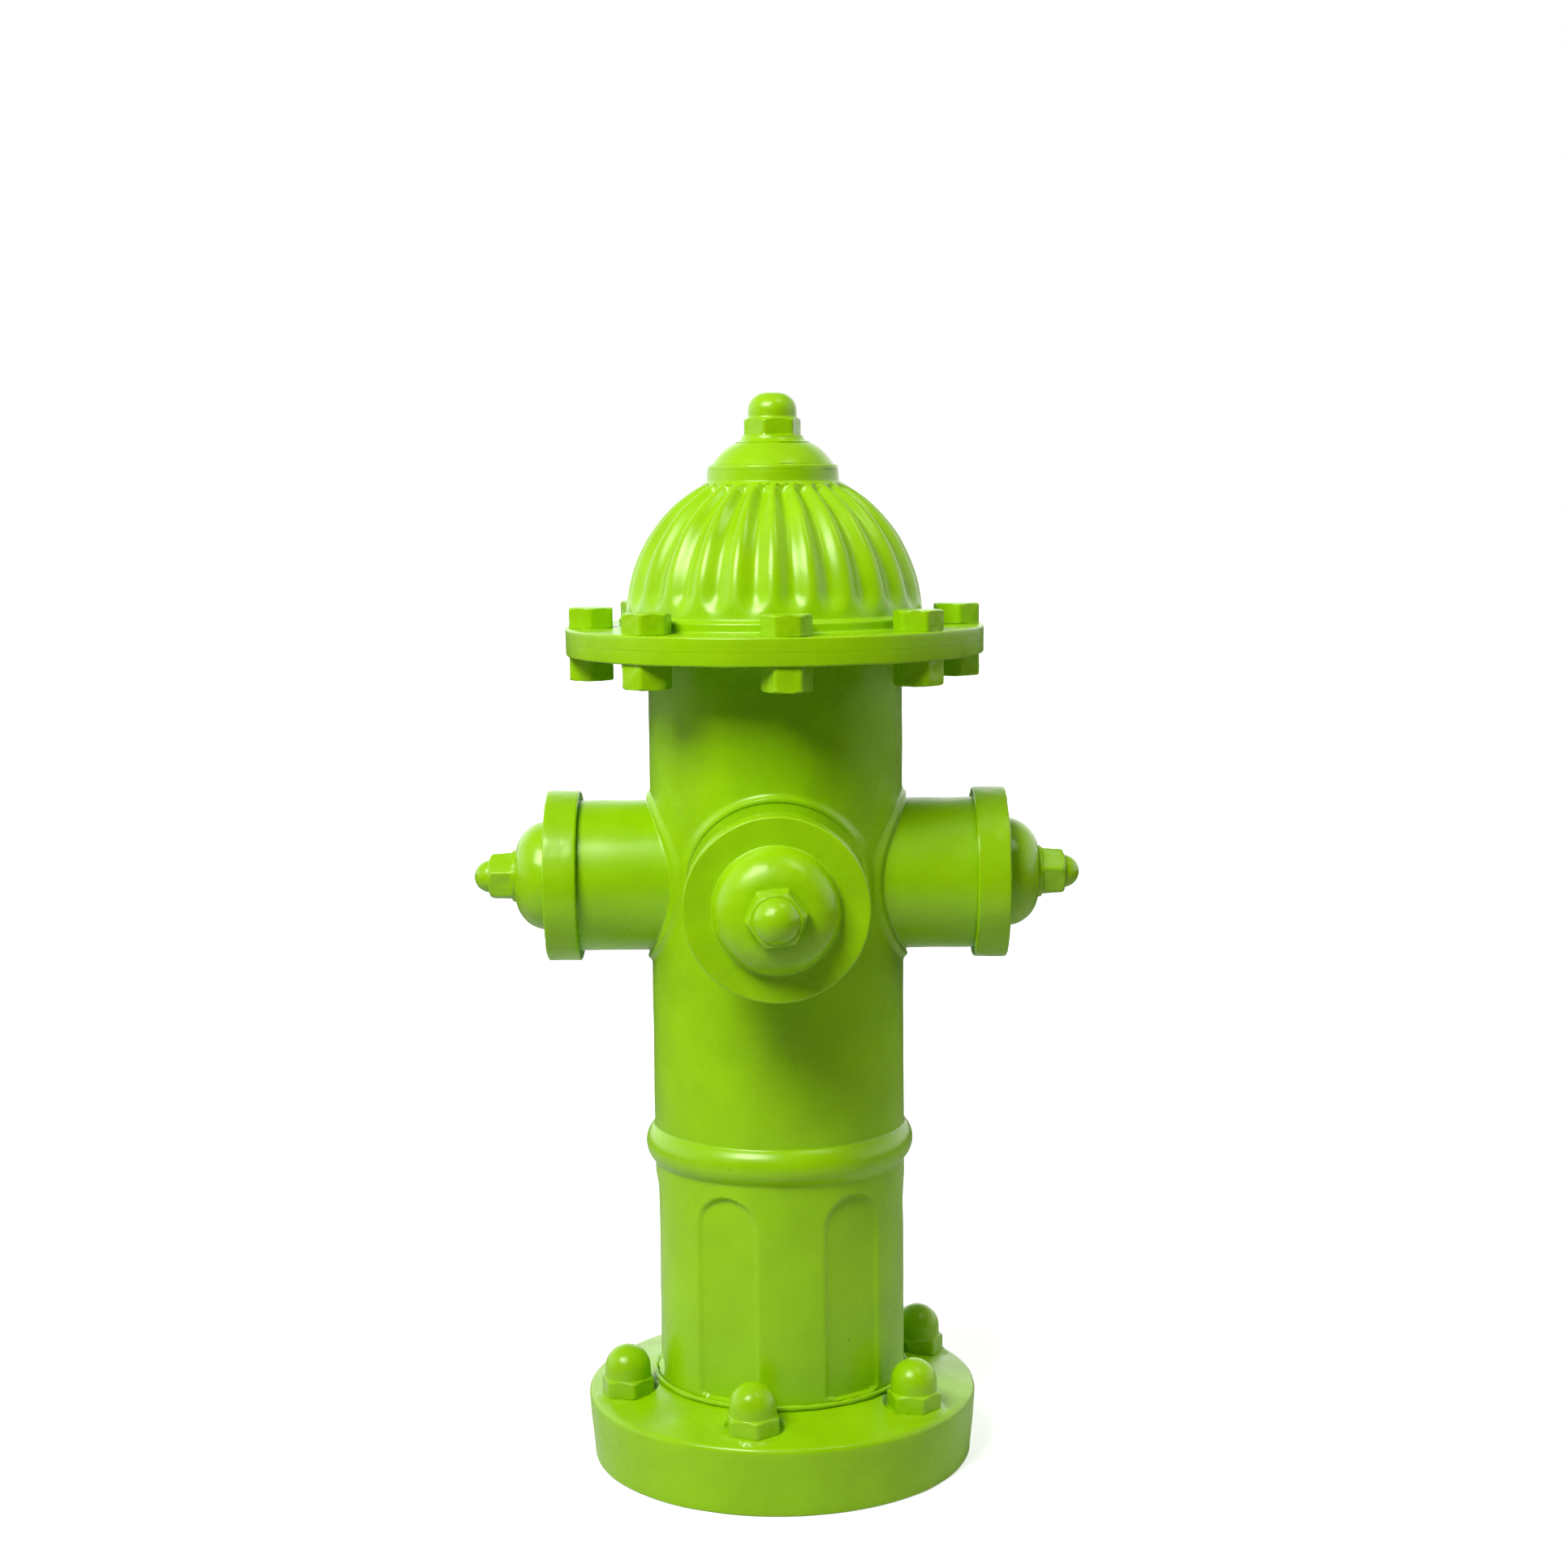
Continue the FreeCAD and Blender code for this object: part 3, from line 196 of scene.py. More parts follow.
def arc(x, y, radius, start, stop, pieces, edge=0):
    # corners along an arc between two angles in degrees from the radius direction
    return [(x + radius * math.cos(math.radians(start + (stop - start) * step / pieces)),
             y + radius * math.sin(math.radians(start + (stop - start) * step / pieces)), edge)
            for step in range(pieces + 1)]


def divide(points, longest):
    # adds points to a closed outline so that no side is longer than longest(radius, height)
    dense = []
    for index, stop in enumerate(points):
        start = points[index - 1]
        side = np.linalg.norm(stop - start)
        done = 0.0
        while done < side:
            step = longest(*(start + (stop - start) * (done + 1e-6) / side))
            done += step
            if side - done < 0.5 * step:
                done = side
            dense.append(start + (stop - start) * min(1.0, done / side))
    return np.array(dense)


def spin(name, points, steps, shape=None):
    # turns a closed outline round Z; shape may move the points first, in millimetres
    rows = len(points)
    angle = np.arange(steps) * 2 * math.pi / steps
    spots = np.empty((steps, rows, 3))
    spots[:, :, 0] = np.cos(angle)[:, None] * points[:, 0]
    spots[:, :, 1] = np.sin(angle)[:, None] * points[:, 0]
    spots[:, :, 2] = points[:, 1]
    if shape is not None:
        spots = shape(spots)
    column, row = np.meshgrid(np.arange(steps), np.arange(rows), indexing="ij")
    ahead, above = (column + 1) % steps, (row + 1) % rows
    corners = [column * rows + row, ahead * rows + row, ahead * rows + above, column * rows + above]
    faces = np.stack(corners, -1)
    mesh = bpy.data.meshes.new(name)
    mesh.from_pydata((spots.reshape(-1, 3) * MM).tolist(), [], faces.reshape(-1, 4).tolist())
    piece = bpy.data.objects.new(name, mesh)
    scene.collection.objects.link(piece)
    clean(piece)
    return piece


def clean(piece, sharp=34):
    # welds doubles, turns every face outward and shades it smooth up to the sharp angle
    form = bmesh.new()
    form.from_mesh(piece.data)
    bmesh.ops.remove_doubles(form, verts=form.verts, dist=2e-6)
    bmesh.ops.dissolve_degenerate(form, edges=form.edges, dist=1e-6)
    bmesh.ops.recalc_face_normals(form, faces=form.faces)
    form.to_mesh(piece.data)
    form.free()
    piece.data.polygons.foreach_set("use_smooth", [True] * len(piece.data.polygons))
    piece.data.set_sharp_from_angle(angle=math.radians(sharp))


def settle(piece):
    # keeps the mesh that the modifiers make
    graph = bpy.context.evaluated_depsgraph_get()
    graph.update()
    mesh = bpy.data.meshes.new_from_object(piece.evaluated_get(graph), depsgraph=graph)
    piece.modifiers.clear()
    piece.data = mesh
    mesh.name = piece.name


def carve(piece, operation, tools):
    # joins or cuts with other solids, which are used up
    for tool in tools:
        step = piece.modifiers.new("carve", "BOOLEAN")
        step.operation = operation
        step.solver = "MANIFOLD"
        step.object = tool
    settle(piece)
    for tool in tools:
        bpy.data.objects.remove(tool)
    clean(piece)


def bar(radius, low, high, matrix, steps=48):
    # a plain rod along its own Z, used as a drill
    rod = spin("drill", np.array([(0, low), (radius, low), (radius, high), (0, high)], float), steps)
    rod.data.transform(matrix)
    return rod


def sand_cast(piece, depth, length, machined=()):
    # the slow unevenness of a cast surface, moved along the normals, in millimetres. Faces at the
    # machined heights stay level.
    count = len(piece.data.vertices)
    spots, normals = np.empty(count * 3), np.empty(count * 3)
    piece.data.vertices.foreach_get("co", spots)
    piece.data.vertices.foreach_get("normal", normals)
    spots, normals = spots.reshape(-1, 3), normals.reshape(-1, 3)
    wave = np.zeros(count)
    waves = 14
    random = np.random.default_rng(7)
    for index in range(waves):
        way = random.normal(size=3)
        way *= 2 * math.pi / (length * MM) / np.linalg.norm(way) * random.uniform(0.5, 1.8)
        wave += np.sin(spots @ way + random.uniform(0, 6.28)) / waves ** 0.5
    for level in machined:
        normals[np.abs(spots[:, 2] - level * MM) < 0.4 * MM, 2] = 0
    spots += normals * (wave * depth * MM)[:, None]
    piece.data.vertices.foreach_set("co", spots.ravel())
    piece.data.update()


def enamel(name, shift, peel, flaws, light, dark):
    # Alkyd enamel brushed over cast iron: satin gloss that varies with the film, a low orange peel from
    # the brush, and pinholes and pimples from the sand below. Peel and flaws are heights in millimetres.
    material, tree = new_material(name)
    spot = put(tree, "ShaderNodeTexCoord", {}, {})
    place = put(tree, "ShaderNodeMapping", {}, {0: spot.outputs["Object"], 1: (shift, shift * 0.7, 0)})
    film = put(tree, "ShaderNodeTexNoise", {}, {0: place, "Scale": 1 / (45 * MM), "Detail": 3.0})
    spread = put(tree, "ShaderNodeMapRange", {}, [film, 0.3, 0.7])
    tone = put(tree, "ShaderNodeMix", colour_mix, {0: spread, 6: colour(dark), 7: colour(light)})
    # pinholes: one cell in fourteen of a 13 mm pattern holds one, and few of them reach the surface. Each is
    # dented by the bump and darkened in the base colour as painted shade inside the pit
    holes = put(tree, "ShaderNodeTexVoronoi", {}, {0: place, "Scale": 1 / (13 * MM)})
    hole_pick = put(tree, "ShaderNodeSeparateColor", {}, [holes.outputs["Color"]])
    hole_size = put(tree, "ShaderNodeMapRange", {}, [hole_pick, 0.93, 1.0, 0.0, 0.05])
    hole = put(tree, "ShaderNodeMath", {"operation": "LESS_THAN"}, [holes, hole_size])
    pit = put(tree, "ShaderNodeMath", {"operation": "MULTIPLY"}, [hole, -flaws * 0.8])
    # pimples of paint over sand grains: one cell in twenty-five of an 8 mm pattern holds one
    grains = put(tree, "ShaderNodeTexVoronoi", {}, {0: place, "Scale": 1 / (8 * MM)})
    grain_pick = put(tree, "ShaderNodeSeparateColor", {}, [grains.outputs["Color"]])
    grain_size = put(tree, "ShaderNodeMapRange", {}, [grain_pick.outputs[1], 0.96, 1.0, 0.0, 0.12])
    grain = put(tree, "ShaderNodeMapRange", smooth_step, [
        grains, 0.0, grain_size, 1.0, 0.0])
    pimple = put(tree, "ShaderNodeMath", {"operation": "MULTIPLY_ADD"}, [grain, flaws, pit])
    # the brushed film over the sand-cast skin
    skin = put(tree, "ShaderNodeTexNoise", {}, {0: place, "Scale": 1 / (5 * MM), "Detail": 0.0})
    sand = put(tree, "ShaderNodeTexNoise", {}, {0: place, "Scale": 1 / (18 * MM), "Detail": 1.0})
    low = put(tree, "ShaderNodeMath", {"operation": "MULTIPLY_ADD"}, [sand, peel * 4, pimple])
    height = put(tree, "ShaderNodeMath", {"operation": "MULTIPLY_ADD"}, [skin, peel, low])
    relief = put(tree, "ShaderNodeBump", {}, {"Height": height, "Distance": MM, "Strength": 1.0})
    # painted shade: the base colour is multiplied darker inside each pinhole, standing in for the shade in the
    # pit
    painted_pinhole_shade = put(tree, "ShaderNodeMix", {"data_type": "RGBA", "blend_type": "MULTIPLY"}, {
        0: hole, 6: tone.outputs[2], 7: colour("#8C9060")})
    gloss = put(tree, "ShaderNodeMapRange", {}, [sand, 0.3, 0.7, 0.25, 0.32])
    finish = put(tree, "ShaderNodeBsdfPrincipled", {}, {
        "Base Color": painted_pinhole_shade.outputs[2], "Roughness": gloss, "IOR": 1.48,
        "Specular Tint": colour("#F8FFDC"), "Normal": relief})
    put(tree, "ShaderNodeOutputMaterial", {}, [finish])
    return material


def hand_over(piece, material, body, slot, *nodes):
    # gives a finished piece its paint, its body and the nodes that it stands for
    piece.data.materials.clear()
    piece.data.materials.append(material)
    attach(piece, body)
    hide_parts(*nodes)


lime = enamel("lime_alkyd_enamel", 1.0, 0.003, 0.05, "#96CB00", "#8CBF00")
low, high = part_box("foot_flange")
foot_r, hub_z = (high[0] - low[0]) / 2 / MM, high[2] / MM
socket_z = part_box("barrel")[0][2] / MM
studs = [mount["pos_m"] for mount in frame["record"]["mounts"] if mount["name"].startswith("stud_hole")]
seat_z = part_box("foot_cap_nuts")[0][2] / MM - 0.1
spot_face_r, stud_hole_r = 22.6, 11.0
socket_r, joint_r = 78.0, 100.3


def spot_faces(spots):
    # levels the sloped top round each stud
    for x, y, z in studs:
        gap = np.hypot(spots[:, :, 0] - x / MM, spots[:, :, 1] - y / MM)
        share = np.clip((gap - spot_face_r) / 2.0, 0, 1)
        share = share * share * (3 - 2 * share)
        level = seat_z + (spots[:, :, 2] - seat_z) * share
        spots[:, :, 2] = np.where((spots[:, :, 2] > 50) & (gap < 26), level, spots[:, :, 2])
    return spots


foot = spin("foot_casting", divide(soften([
    (socket_r, 0, 1.0), (foot_r - 4.6, 0, 2.0), (foot_r, 54.2, 4.5), (joint_r, hub_z, 1.0),
    (joint_r, socket_z, 0), (socket_r, socket_z, 1.0)]),
    lambda r, z: 1.6 if z > 52 and r > 100 else 6.0), 360, spot_faces)
carve(foot, "DIFFERENCE", [bar(stud_hole_r, -5, 75, Matrix.Translation((x, y, 0))) for x, y, z in studs])
sand_cast(foot, 0.22, 46, (0,))
hand_over(foot, lime, "hydrant", "green_paint", "foot_flange")

# ---------------------------------------------------------------------------------------------
# Joint bead: sealant pressed by hand into the corner where the barrel enters the foot, then painted
# over. It is a ring of uneven thickness, so it is swept round the barrel with a wandering radius.


def new_tree(name, sockets):
    # an empty node tree with named inputs, as label: (kind, value)
    tree = bpy.data.node_groups.new(name, "GeometryNodeTree")
    tree.interface.new_socket("Geometry", in_out="INPUT", socket_type="NodeSocketGeometry")
    for label, (kind, value) in sockets.items():
        socket = tree.interface.new_socket(label, in_out="INPUT", socket_type="NodeSocket" + kind)
        if value is not None:
            socket.default_value = value
    tree.interface.new_socket("Geometry", in_out="OUTPUT", socket_type="NodeSocketGeometry")
    return tree, put(tree, "NodeGroupInput", {}, []).outputs


def grow(piece, tree, values):
    # runs a tree on a piece with these input values, and keeps the plain mesh that it makes
    step = piece.modifiers.new(tree.name, "NODES")
    step.node_group = tree
    for socket in tree.interface.items_tree:
        if socket.in_out == "INPUT" and socket.name in values:
            step[socket.identifier] = values[socket.name]
    settle(piece)


def empty_piece(name, spots=()):
    # an object with loose points and nothing else, for a tree to build on
    mesh = bpy.data.meshes.new(name)
    mesh.from_pydata([tuple(spot) for spot in spots], [], [])
    piece = bpy.data.objects.new(name, mesh)
    scene.collection.objects.link(piece)
    return piece


tree, size = new_tree("sealant_bead", {
    "Radius": ("Float", 0.1), "Height": ("Float", 0.0), "Thickness": ("Float", 0.002),
    "Wander": ("Float", 0.3), "Seed": ("Float", 0.0), "Material": ("Material", None)})
ring = put(tree, "GeometryNodeCurvePrimitiveCircle", {}, {"Resolution": 220, "Radius": size["Radius"]})
lumps = put(tree, "ShaderNodeTexNoise", {"noise_dimensions": "4D"}, {"W": size["Seed"], "Scale": 70.0})
drift = put(tree, "ShaderNodeMapRange", {}, [lumps, 0.25, 0.75, -1.0, 1.0])
stout = put(tree, "ShaderNodeMath", {"operation": "MULTIPLY_ADD"}, [drift, size["Wander"], 1.0])
thick = put(tree, "ShaderNodeMath", {"operation": "MULTIPLY"}, [stout, size["Thickness"]])
path = put(tree, "GeometryNodeSetCurveRadius", {}, {"Curve": ring, "Radius": thick})
section = put(tree, "GeometryNodeCurvePrimitiveCircle", {}, {"Resolution": 14, "Radius": 1.0})
swell = put(tree, "GeometryNodeInputRadius", {}, [])
swept = put(tree, "GeometryNodeCurveToMesh", {}, {"Curve": path, "Profile Curve": section, "Scale": swell})
lift = put(tree, "ShaderNodeCombineXYZ", {}, {"Z": size["Height"]})
raised = put(tree, "GeometryNodeSetPosition", {}, {"Geometry": swept, "Offset": lift})
solid = put(tree, "GeometryNodeRealizeInstances", {}, [raised])
painted = put(tree, "GeometryNodeSetMaterial", {}, {"Geometry": solid, "Material": size["Material"]})
put(tree, "NodeGroupOutput", {}, [painted])

low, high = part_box("joint_bead")
bead = empty_piece("sealant_bead")
grow(bead, tree, {"Radius": high[0] - 0.0024, "Height": (low[2] + high[2]) / 2 - 0.0002,
                  "Thickness": 0.0022, "Wander": 0.35, "Seed": 3.0, "Material": lime})
clean(bead)
hand_over(bead, lime, "hydrant", "green_paint", "joint_bead")

# ---------------------------------------------------------------------------------------------
# Foot cap nuts: five cast domed nuts, each run down on a stud until its corners happened to stop.
# Paint has filled their edges, so each flat meets the next in a soft corner.
tree, size = new_tree("wrench_flats", {
    "Blank": ("Object", None), "Across Flats": ("Float", 0.03), "Flats Low": ("Float", 0.0),
    "Flats High": ("Float", 1.0), "Taper": ("Float", 0.0), "Corner": ("Float", 34.0),
    "Softness": ("Float", 0.03), "Unevenness": ("Float", 0.0002), "Seed": ("Float", 0.0),
    "Material": ("Material", None)})
blank = put(tree, "GeometryNodeObjectInfo", {}, {"Object": size["Blank"]})
here = put(tree, "GeometryNodeInputPosition", {}, [])
parts = put(tree, "ShaderNodeSeparateXYZ", {}, [here])
rise = put(tree, "ShaderNodeMath", {"operation": "SUBTRACT"}, [size["Flats Low"], parts.outputs[2]])
width = put(tree, "ShaderNodeMath", {"operation": "MULTIPLY_ADD"}, [
    rise, size["Taper"], size["Across Flats"]])
total = None
for side in (30, 90, 150):
    facing = (math.cos(math.radians(side)), math.sin(math.radians(side)), 0)
    reach = put(tree, "ShaderNodeVectorMath", {"operation": "DOT_PRODUCT"}, [here, facing]).outputs["Value"]
    reach = put(tree, "ShaderNodeMath", {"operation": "ABSOLUTE"}, [reach])
    reach = put(tree, "ShaderNodeMath", {"operation": "DIVIDE"}, [reach, width])
    share = put(tree, "ShaderNodeMath", {"operation": "POWER"}, [reach, size["Corner"]])
    total = share if total is None else put(tree, "ShaderNodeMath", {"operation": "ADD"}, [total, share])
root = put(tree, "ShaderNodeMath", {"operation": "DIVIDE"}, [1.0, size["Corner"]])
spread = put(tree, "ShaderNodeMath", {"operation": "POWER"}, [total, root])
pull = put(tree, "ShaderNodeMath", {"operation": "DIVIDE"}, [0.5, spread])
pull = put(tree, "ShaderNodeMath", {"operation": "SMOOTH_MIN"}, [1.0, pull, size["Softness"]])
above = put(tree, "ShaderNodeMath", {"operation": "GREATER_THAN"}, [parts.outputs[2], size["Flats Low"]])
below = put(tree, "ShaderNodeMath", {"operation": "LESS_THAN"}, [parts.outputs[2], size["Flats High"]])
band = put(tree, "ShaderNodeMath", {"operation": "MULTIPLY"}, [above, below])
pull = put(tree, "ShaderNodeMath", {"operation": "SUBTRACT"}, [pull, 1.0])
pull = put(tree, "ShaderNodeMath", {"operation": "MULTIPLY_ADD"}, [pull, band, 1.0])
factors = put(tree, "ShaderNodeCombineXYZ", {}, [pull, pull, 1.0])
pressed = put(tree, "ShaderNodeVectorMath", {"operation": "MULTIPLY"}, [here, factors])
shaped = put(tree, "GeometryNodeSetPosition", {}, {
    "Geometry": blank.outputs["Geometry"], "Position": pressed})
turn = put(tree, "GeometryNodeInputNamedAttribute", {"data_type": "FLOAT_VECTOR"}, {"Name": "turn"})
placed = put(tree, "GeometryNodeInstanceOnPoints", {}, {
    "Points": size["Geometry"], "Instance": shaped, "Rotation": turn})
solid = put(tree, "GeometryNodeRealizeInstances", {}, [placed])
rough = put(tree, "ShaderNodeTexNoise", {"noise_dimensions": "4D"}, {"W": size["Seed"], "Scale": 110.0})
rough = put(tree, "ShaderNodeMapRange", {}, [rough, 0.2, 0.8, -1.0, 1.0])
rough = put(tree, "ShaderNodeMath", {"operation": "MULTIPLY"}, [rough, size["Unevenness"]])
outward = put(tree, "GeometryNodeInputNormal", {}, [])
push = put(tree, "ShaderNodeVectorMath", {"operation": "SCALE"}, {0: outward, "Scale": rough})
uneven = put(tree, "GeometryNodeSetPosition", {}, {"Geometry": solid, "Offset": push})
painted = put(tree, "GeometryNodeSetMaterial", {}, {"Geometry": uneven, "Material": size["Material"]})
put(tree, "NodeGroupOutput", {}, [painted])
wrench_flats = tree


def hexed(name, blank, places, across, low, high, material, seed, uneven,
          softness=0.03, corner=34.0, taper=0.0):
    # copies of a turned blank with six flats pressed in it, at places of (x, y, z, turn in degrees)
    piece = empty_piece(name, [place[:3] for place in places])
    turns = piece.data.attributes.new("turn", "FLOAT_VECTOR", "POINT")
    for index, place in enumerate(places):
        turns.data[index].vector = (0, 0, math.radians(place[3] - 90))
    grow(piece, wrench_flats, {
        "Blank": blank, "Across Flats": across * MM, "Flats Low": low * MM, "Flats High": high * MM,
        "Taper": taper, "Corner": corner, "Softness": softness, "Unevenness": uneven, "Seed": seed,
        "Material": material})
    bpy.data.objects.remove(blank)
    clean(piece, 40)
    return piece


bore_r, dome_r, cap_nut_flats = 10.1, 18.2, 37.9
cap_nut_blank = spin("cap_nut_blank", divide(soften([
    (bore_r, 0.1, 0), (21.4, 0.1, 0.8), (21.9, 1.2, 0.5), (21.9, 11.2, 1.2), (19.0, 13.2, 1.2),
    (dome_r, 13.8, 0.6)] + arc(0, 20.3, dome_r, 0, 90, 14) + [(0, 26, 0), (bore_r, 24, 0)], 4),
    lambda r, z: 1.6 if r > 11 else 5.0), 96)
turns = (17, 10, 18, 35, 0)
nut_places = [(x, y, seat_z * MM, turns[index]) for index, (x, y, z) in enumerate(studs)]
cap_nuts = hexed("foot_cap_nuts_cast", cap_nut_blank, nut_places, cap_nut_flats, -1, 14.5, lime, 2.0, 0.00028)
hand_over(cap_nuts, lime, "hydrant", "green_paint", "foot_cap_nuts")

# ---------------------------------------------------------------------------------------------
# Barrel: one grey iron casting with a rounded band, six flat arched panels low down, three outlet
# arms on raised pads and the lower bolted flange. The waterways and holes are bored afterwards.
tree, size = new_tree("hollows_round_a_casting", {
    "Count": ("Float", 6.0), "First": ("Float", 0.0), "Half Width": ("Float", 0.01),
    "Radius": ("Float", 0.1), "Low": ("Float", 0.0), "Low Rounding": ("Float", 0.001), "High": ("Float", 0.1),
    "High Rounding": ("Float", 0.001), "Border": ("Float", 0.005), "Depth": ("Float", 0.003),
    "Flat": ("Float", 0.0), "Material": ("Material", None)})
here = put(tree, "GeometryNodeInputPosition", {}, [])
parts = put(tree, "ShaderNodeSeparateXYZ", {}, [here])
flat = put(tree, "ShaderNodeVectorMath", {"operation": "MULTIPLY"}, [here, (1, 1, 0)])
radius = put(tree, "ShaderNodeVectorMath", {"operation": "LENGTH"}, [flat]).outputs["Value"]
front = put(tree, "ShaderNodeMath", {"operation": "MULTIPLY"}, [parts.outputs[1], -1.0])
angle = put(tree, "ShaderNodeMath", {"operation": "ARCTAN2"}, [parts.outputs[0], front])
angle = put(tree, "ShaderNodeMath", {"operation": "SUBTRACT"}, [angle, size["First"]])
half = put(tree, "ShaderNodeMath", {"operation": "DIVIDE"}, [math.pi, size["Count"]])
minus = put(tree, "ShaderNodeMath", {"operation": "MULTIPLY"}, [half, -1.0])
angle = put(tree, "ShaderNodeMath", {"operation": "WRAP"}, [angle, half, minus])
across = put(tree, "ShaderNodeMath", {"operation": "SINE"}, [angle])
across = put(tree, "ShaderNodeMath", {"operation": "MULTIPLY"}, [across, size["Radius"]])
ends = []
for level, rounding, sign in (("High", "High Rounding", 1.0), ("Low", "Low Rounding", -1.0)):
    over = put(tree, "ShaderNodeMath", {"operation": "SUBTRACT"}, [parts.outputs[2], size[level]])
    over = put(tree, "ShaderNodeMath", {"operation": "MULTIPLY_ADD"}, [over, sign, size[rounding]])
    over = put(tree, "ShaderNodeMath", {"operation": "MAXIMUM"}, [over, 0.0])
    over = put(tree, "ShaderNodeMath", {"operation": "DIVIDE"}, [over, size[rounding]])
    ends.append(put(tree, "ShaderNodeMath", {"operation": "MULTIPLY"}, [over, size["Half Width"]]))
gap = put(tree, "ShaderNodeCombineXYZ", {}, [across, ends[0], ends[1]])
gap = put(tree, "ShaderNodeVectorMath", {"operation": "LENGTH"}, [gap]).outputs["Value"]
gap = put(tree, "ShaderNodeMath", {"operation": "SUBTRACT"}, [size["Half Width"], gap])
share = put(tree, "ShaderNodeMapRange", smooth_step, [gap, 0.0, size["Border"], 0.0, 1.0])
plane = put(tree, "ShaderNodeMath", {"operation": "SUBTRACT"}, [size["Radius"], size["Depth"]])
slope = put(tree, "ShaderNodeMath", {"operation": "COSINE"}, [angle])
plane = put(tree, "ShaderNodeMath", {"operation": "DIVIDE"}, [plane, slope])
plane = put(tree, "ShaderNodeMath", {"operation": "SUBTRACT"}, [radius, plane])
depth = put(tree, "ShaderNodeMix", {}, {0: size["Flat"], 2: size["Depth"], 3: plane})
depth = put(tree, "ShaderNodeMath", {"operation": "MULTIPLY"}, [depth, share])
depth = put(tree, "ShaderNodeMath", {"operation": "MULTIPLY"}, [depth, -1.0])
outward = put(tree, "GeometryNodeInputNormal", {}, [])
push = put(tree, "ShaderNodeVectorMath", {"operation": "SCALE"}, {0: outward, "Scale": depth})
facing = put(tree, "ShaderNodeVectorMath", {"operation": "DOT_PRODUCT"}, [outward, flat]).outputs["Value"]
skin = put(tree, "ShaderNodeMath", {"operation": "GREATER_THAN"}, [facing, 0.01])
dented = put(tree, "GeometryNodeSetPosition", {}, {
    "Geometry": size["Geometry"], "Selection": skin, "Offset": push})
solid = put(tree, "GeometryNodeRealizeInstances", {}, [dented])
painted = put(tree, "GeometryNodeSetMaterial", {}, {"Geometry": solid, "Material": size["Material"]})
put(tree, "NodeGroupOutput", {}, [painted])
hollows = tree

low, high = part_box("barrel")
foot_z, flange_z = low[2] / MM, high[2] / MM
flange_r = high[1] / MM
low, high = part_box("cap_front")
outlet_z = (low[2] + high[2]) / 2 / MM
arm_end = -high[1] / MM - 0.8
barrel_r = 100.0
band_z, band_round = 256.9, 18.3
under_z, groove_z = flange_z - 10.9, flange_z - 1.6
inlet_r, land_r, waterway_r = 87, 70, 82


def barrel_step(r, z):
    # long steps inside and on the flange, short ones at the panels' ends and over the band
    if r < 99:
        return 22.0
    if r > 109:
        return 7.0
    if 204 < z < 233 or 66 < z < 77 or 240 < z < 275:
        return 1.5
    return 6.5 if z < 204 else 9.0


barrel = spin("barrel_casting", divide(soften([
    (inlet_r, foot_z, 0), (barrel_r, foot_z, 0), (barrel_r, 241.6, 1.5)]
    + arc(barrel_r - 11.3, band_z, band_round, -50.6, 50.6, 14)
    + [(barrel_r, 272.2, 1.5), (barrel_r, under_z, 3.0), (flange_r, under_z, 1.6), (flange_r, flange_z, 0),
       (130.0, flange_z, 0), (130.0, groove_z, 0), (108.0, groove_z, 0), (108.0, flange_z, 0),
       (waterway_r, flange_z, 0), (waterway_r, 150, 2), (land_r, 150, 1), (land_r, 118, 1),
       (inlet_r, 118, 2)]), barrel_step), 384)
panel_half = 0.0262
grow(barrel, hollows, {
    "Count": 6.0, "First": math.radians(-25), "Half Width": panel_half, "Radius": barrel_r * MM,
    "Low": 0.069, "Low Rounding": 0.004, "High": 0.2318, "High Rounding": panel_half, "Border": 0.003,
    "Depth": 0.0046, "Flat": 1.0, "Material": lime})
clean(barrel, 60)


def follow_the_barrel(spots):
    # lets the root of an arm, modelled as if it left a flat plate, lie on the round barrel
    root = np.sqrt(np.maximum(barrel_r * barrel_r - spots[:, :, 0] ** 2, 0)) - barrel_r
    share = np.clip((barrel_r + 42 - spots[:, :, 2]) / 26, 0, 1)
    spots[:, :, 2] += root * share * share * (3 - 2 * share)
    return spots


lays = {"front": Matrix.Rotation(math.radians(90), 4, "X"),
        "right": Matrix.Rotation(math.radians(90), 4, "Y"),
        "left": Matrix.Rotation(math.radians(-90), 4, "Y")}
# an arm's own X axis lies level, across the outlet, so that the root bends about the barrel's axis
level = {"front": 0, "right": 90, "left": 90}
arm_r, seat_r, set_screw_r = 59.75, 49.05, 4.05
root_z, mouth_z = barrel_r - 10, arm_end + 0.65
arms, ports = [], []
for outlet, lay in lays.items():
    place = Matrix.Translation((0, 0, outlet_z * MM)) @ lay
    turned = place @ Matrix.Rotation(math.radians(level[outlet]), 4, "Z")
    pad = 71.6 if outlet == "front" else 64.6
    arm = spin("arm", divide(soften([
        (seat_r, root_z, 0), (pad + 10.0, root_z, 0), (pad + 9.0, barrel_r - 0.7, 2.0),
        (pad + 3.4, barrel_r + 0.4, 5.0), (pad + 0.8, barrel_r + 3.0, 1.0), (pad - 1.4, barrel_r + 3.2, 0.9),
        (pad - 2.6, barrel_r + 1.9, 0.8), (arm_r, barrel_r + 2.2, 3.0), (arm_r, mouth_z, 0.2),
        (seat_r, mouth_z, 0)]), lambda r, z: 2.0 if r > 50 else 12.0), 176, follow_the_barrel)
    arm.data.transform(turned)
    arms.append(arm)
    ports.append(bar(44.0, 40, 126, place))
    ports.append(bar(seat_r, 122, 170, place))
    screw = place @ Vector((0, 0, (arm_end - 15.4) * MM))
    screw_line = Matrix.Translation((screw[0], screw[1], 0))
    ports.append(bar(set_screw_r, outlet_z - 75, outlet_z - 40, screw_line, 24))
carve(barrel, "UNION", arms)
bolt_circle, bolt_hole_r, first_bolt = 0.144, 12.0, 3.7
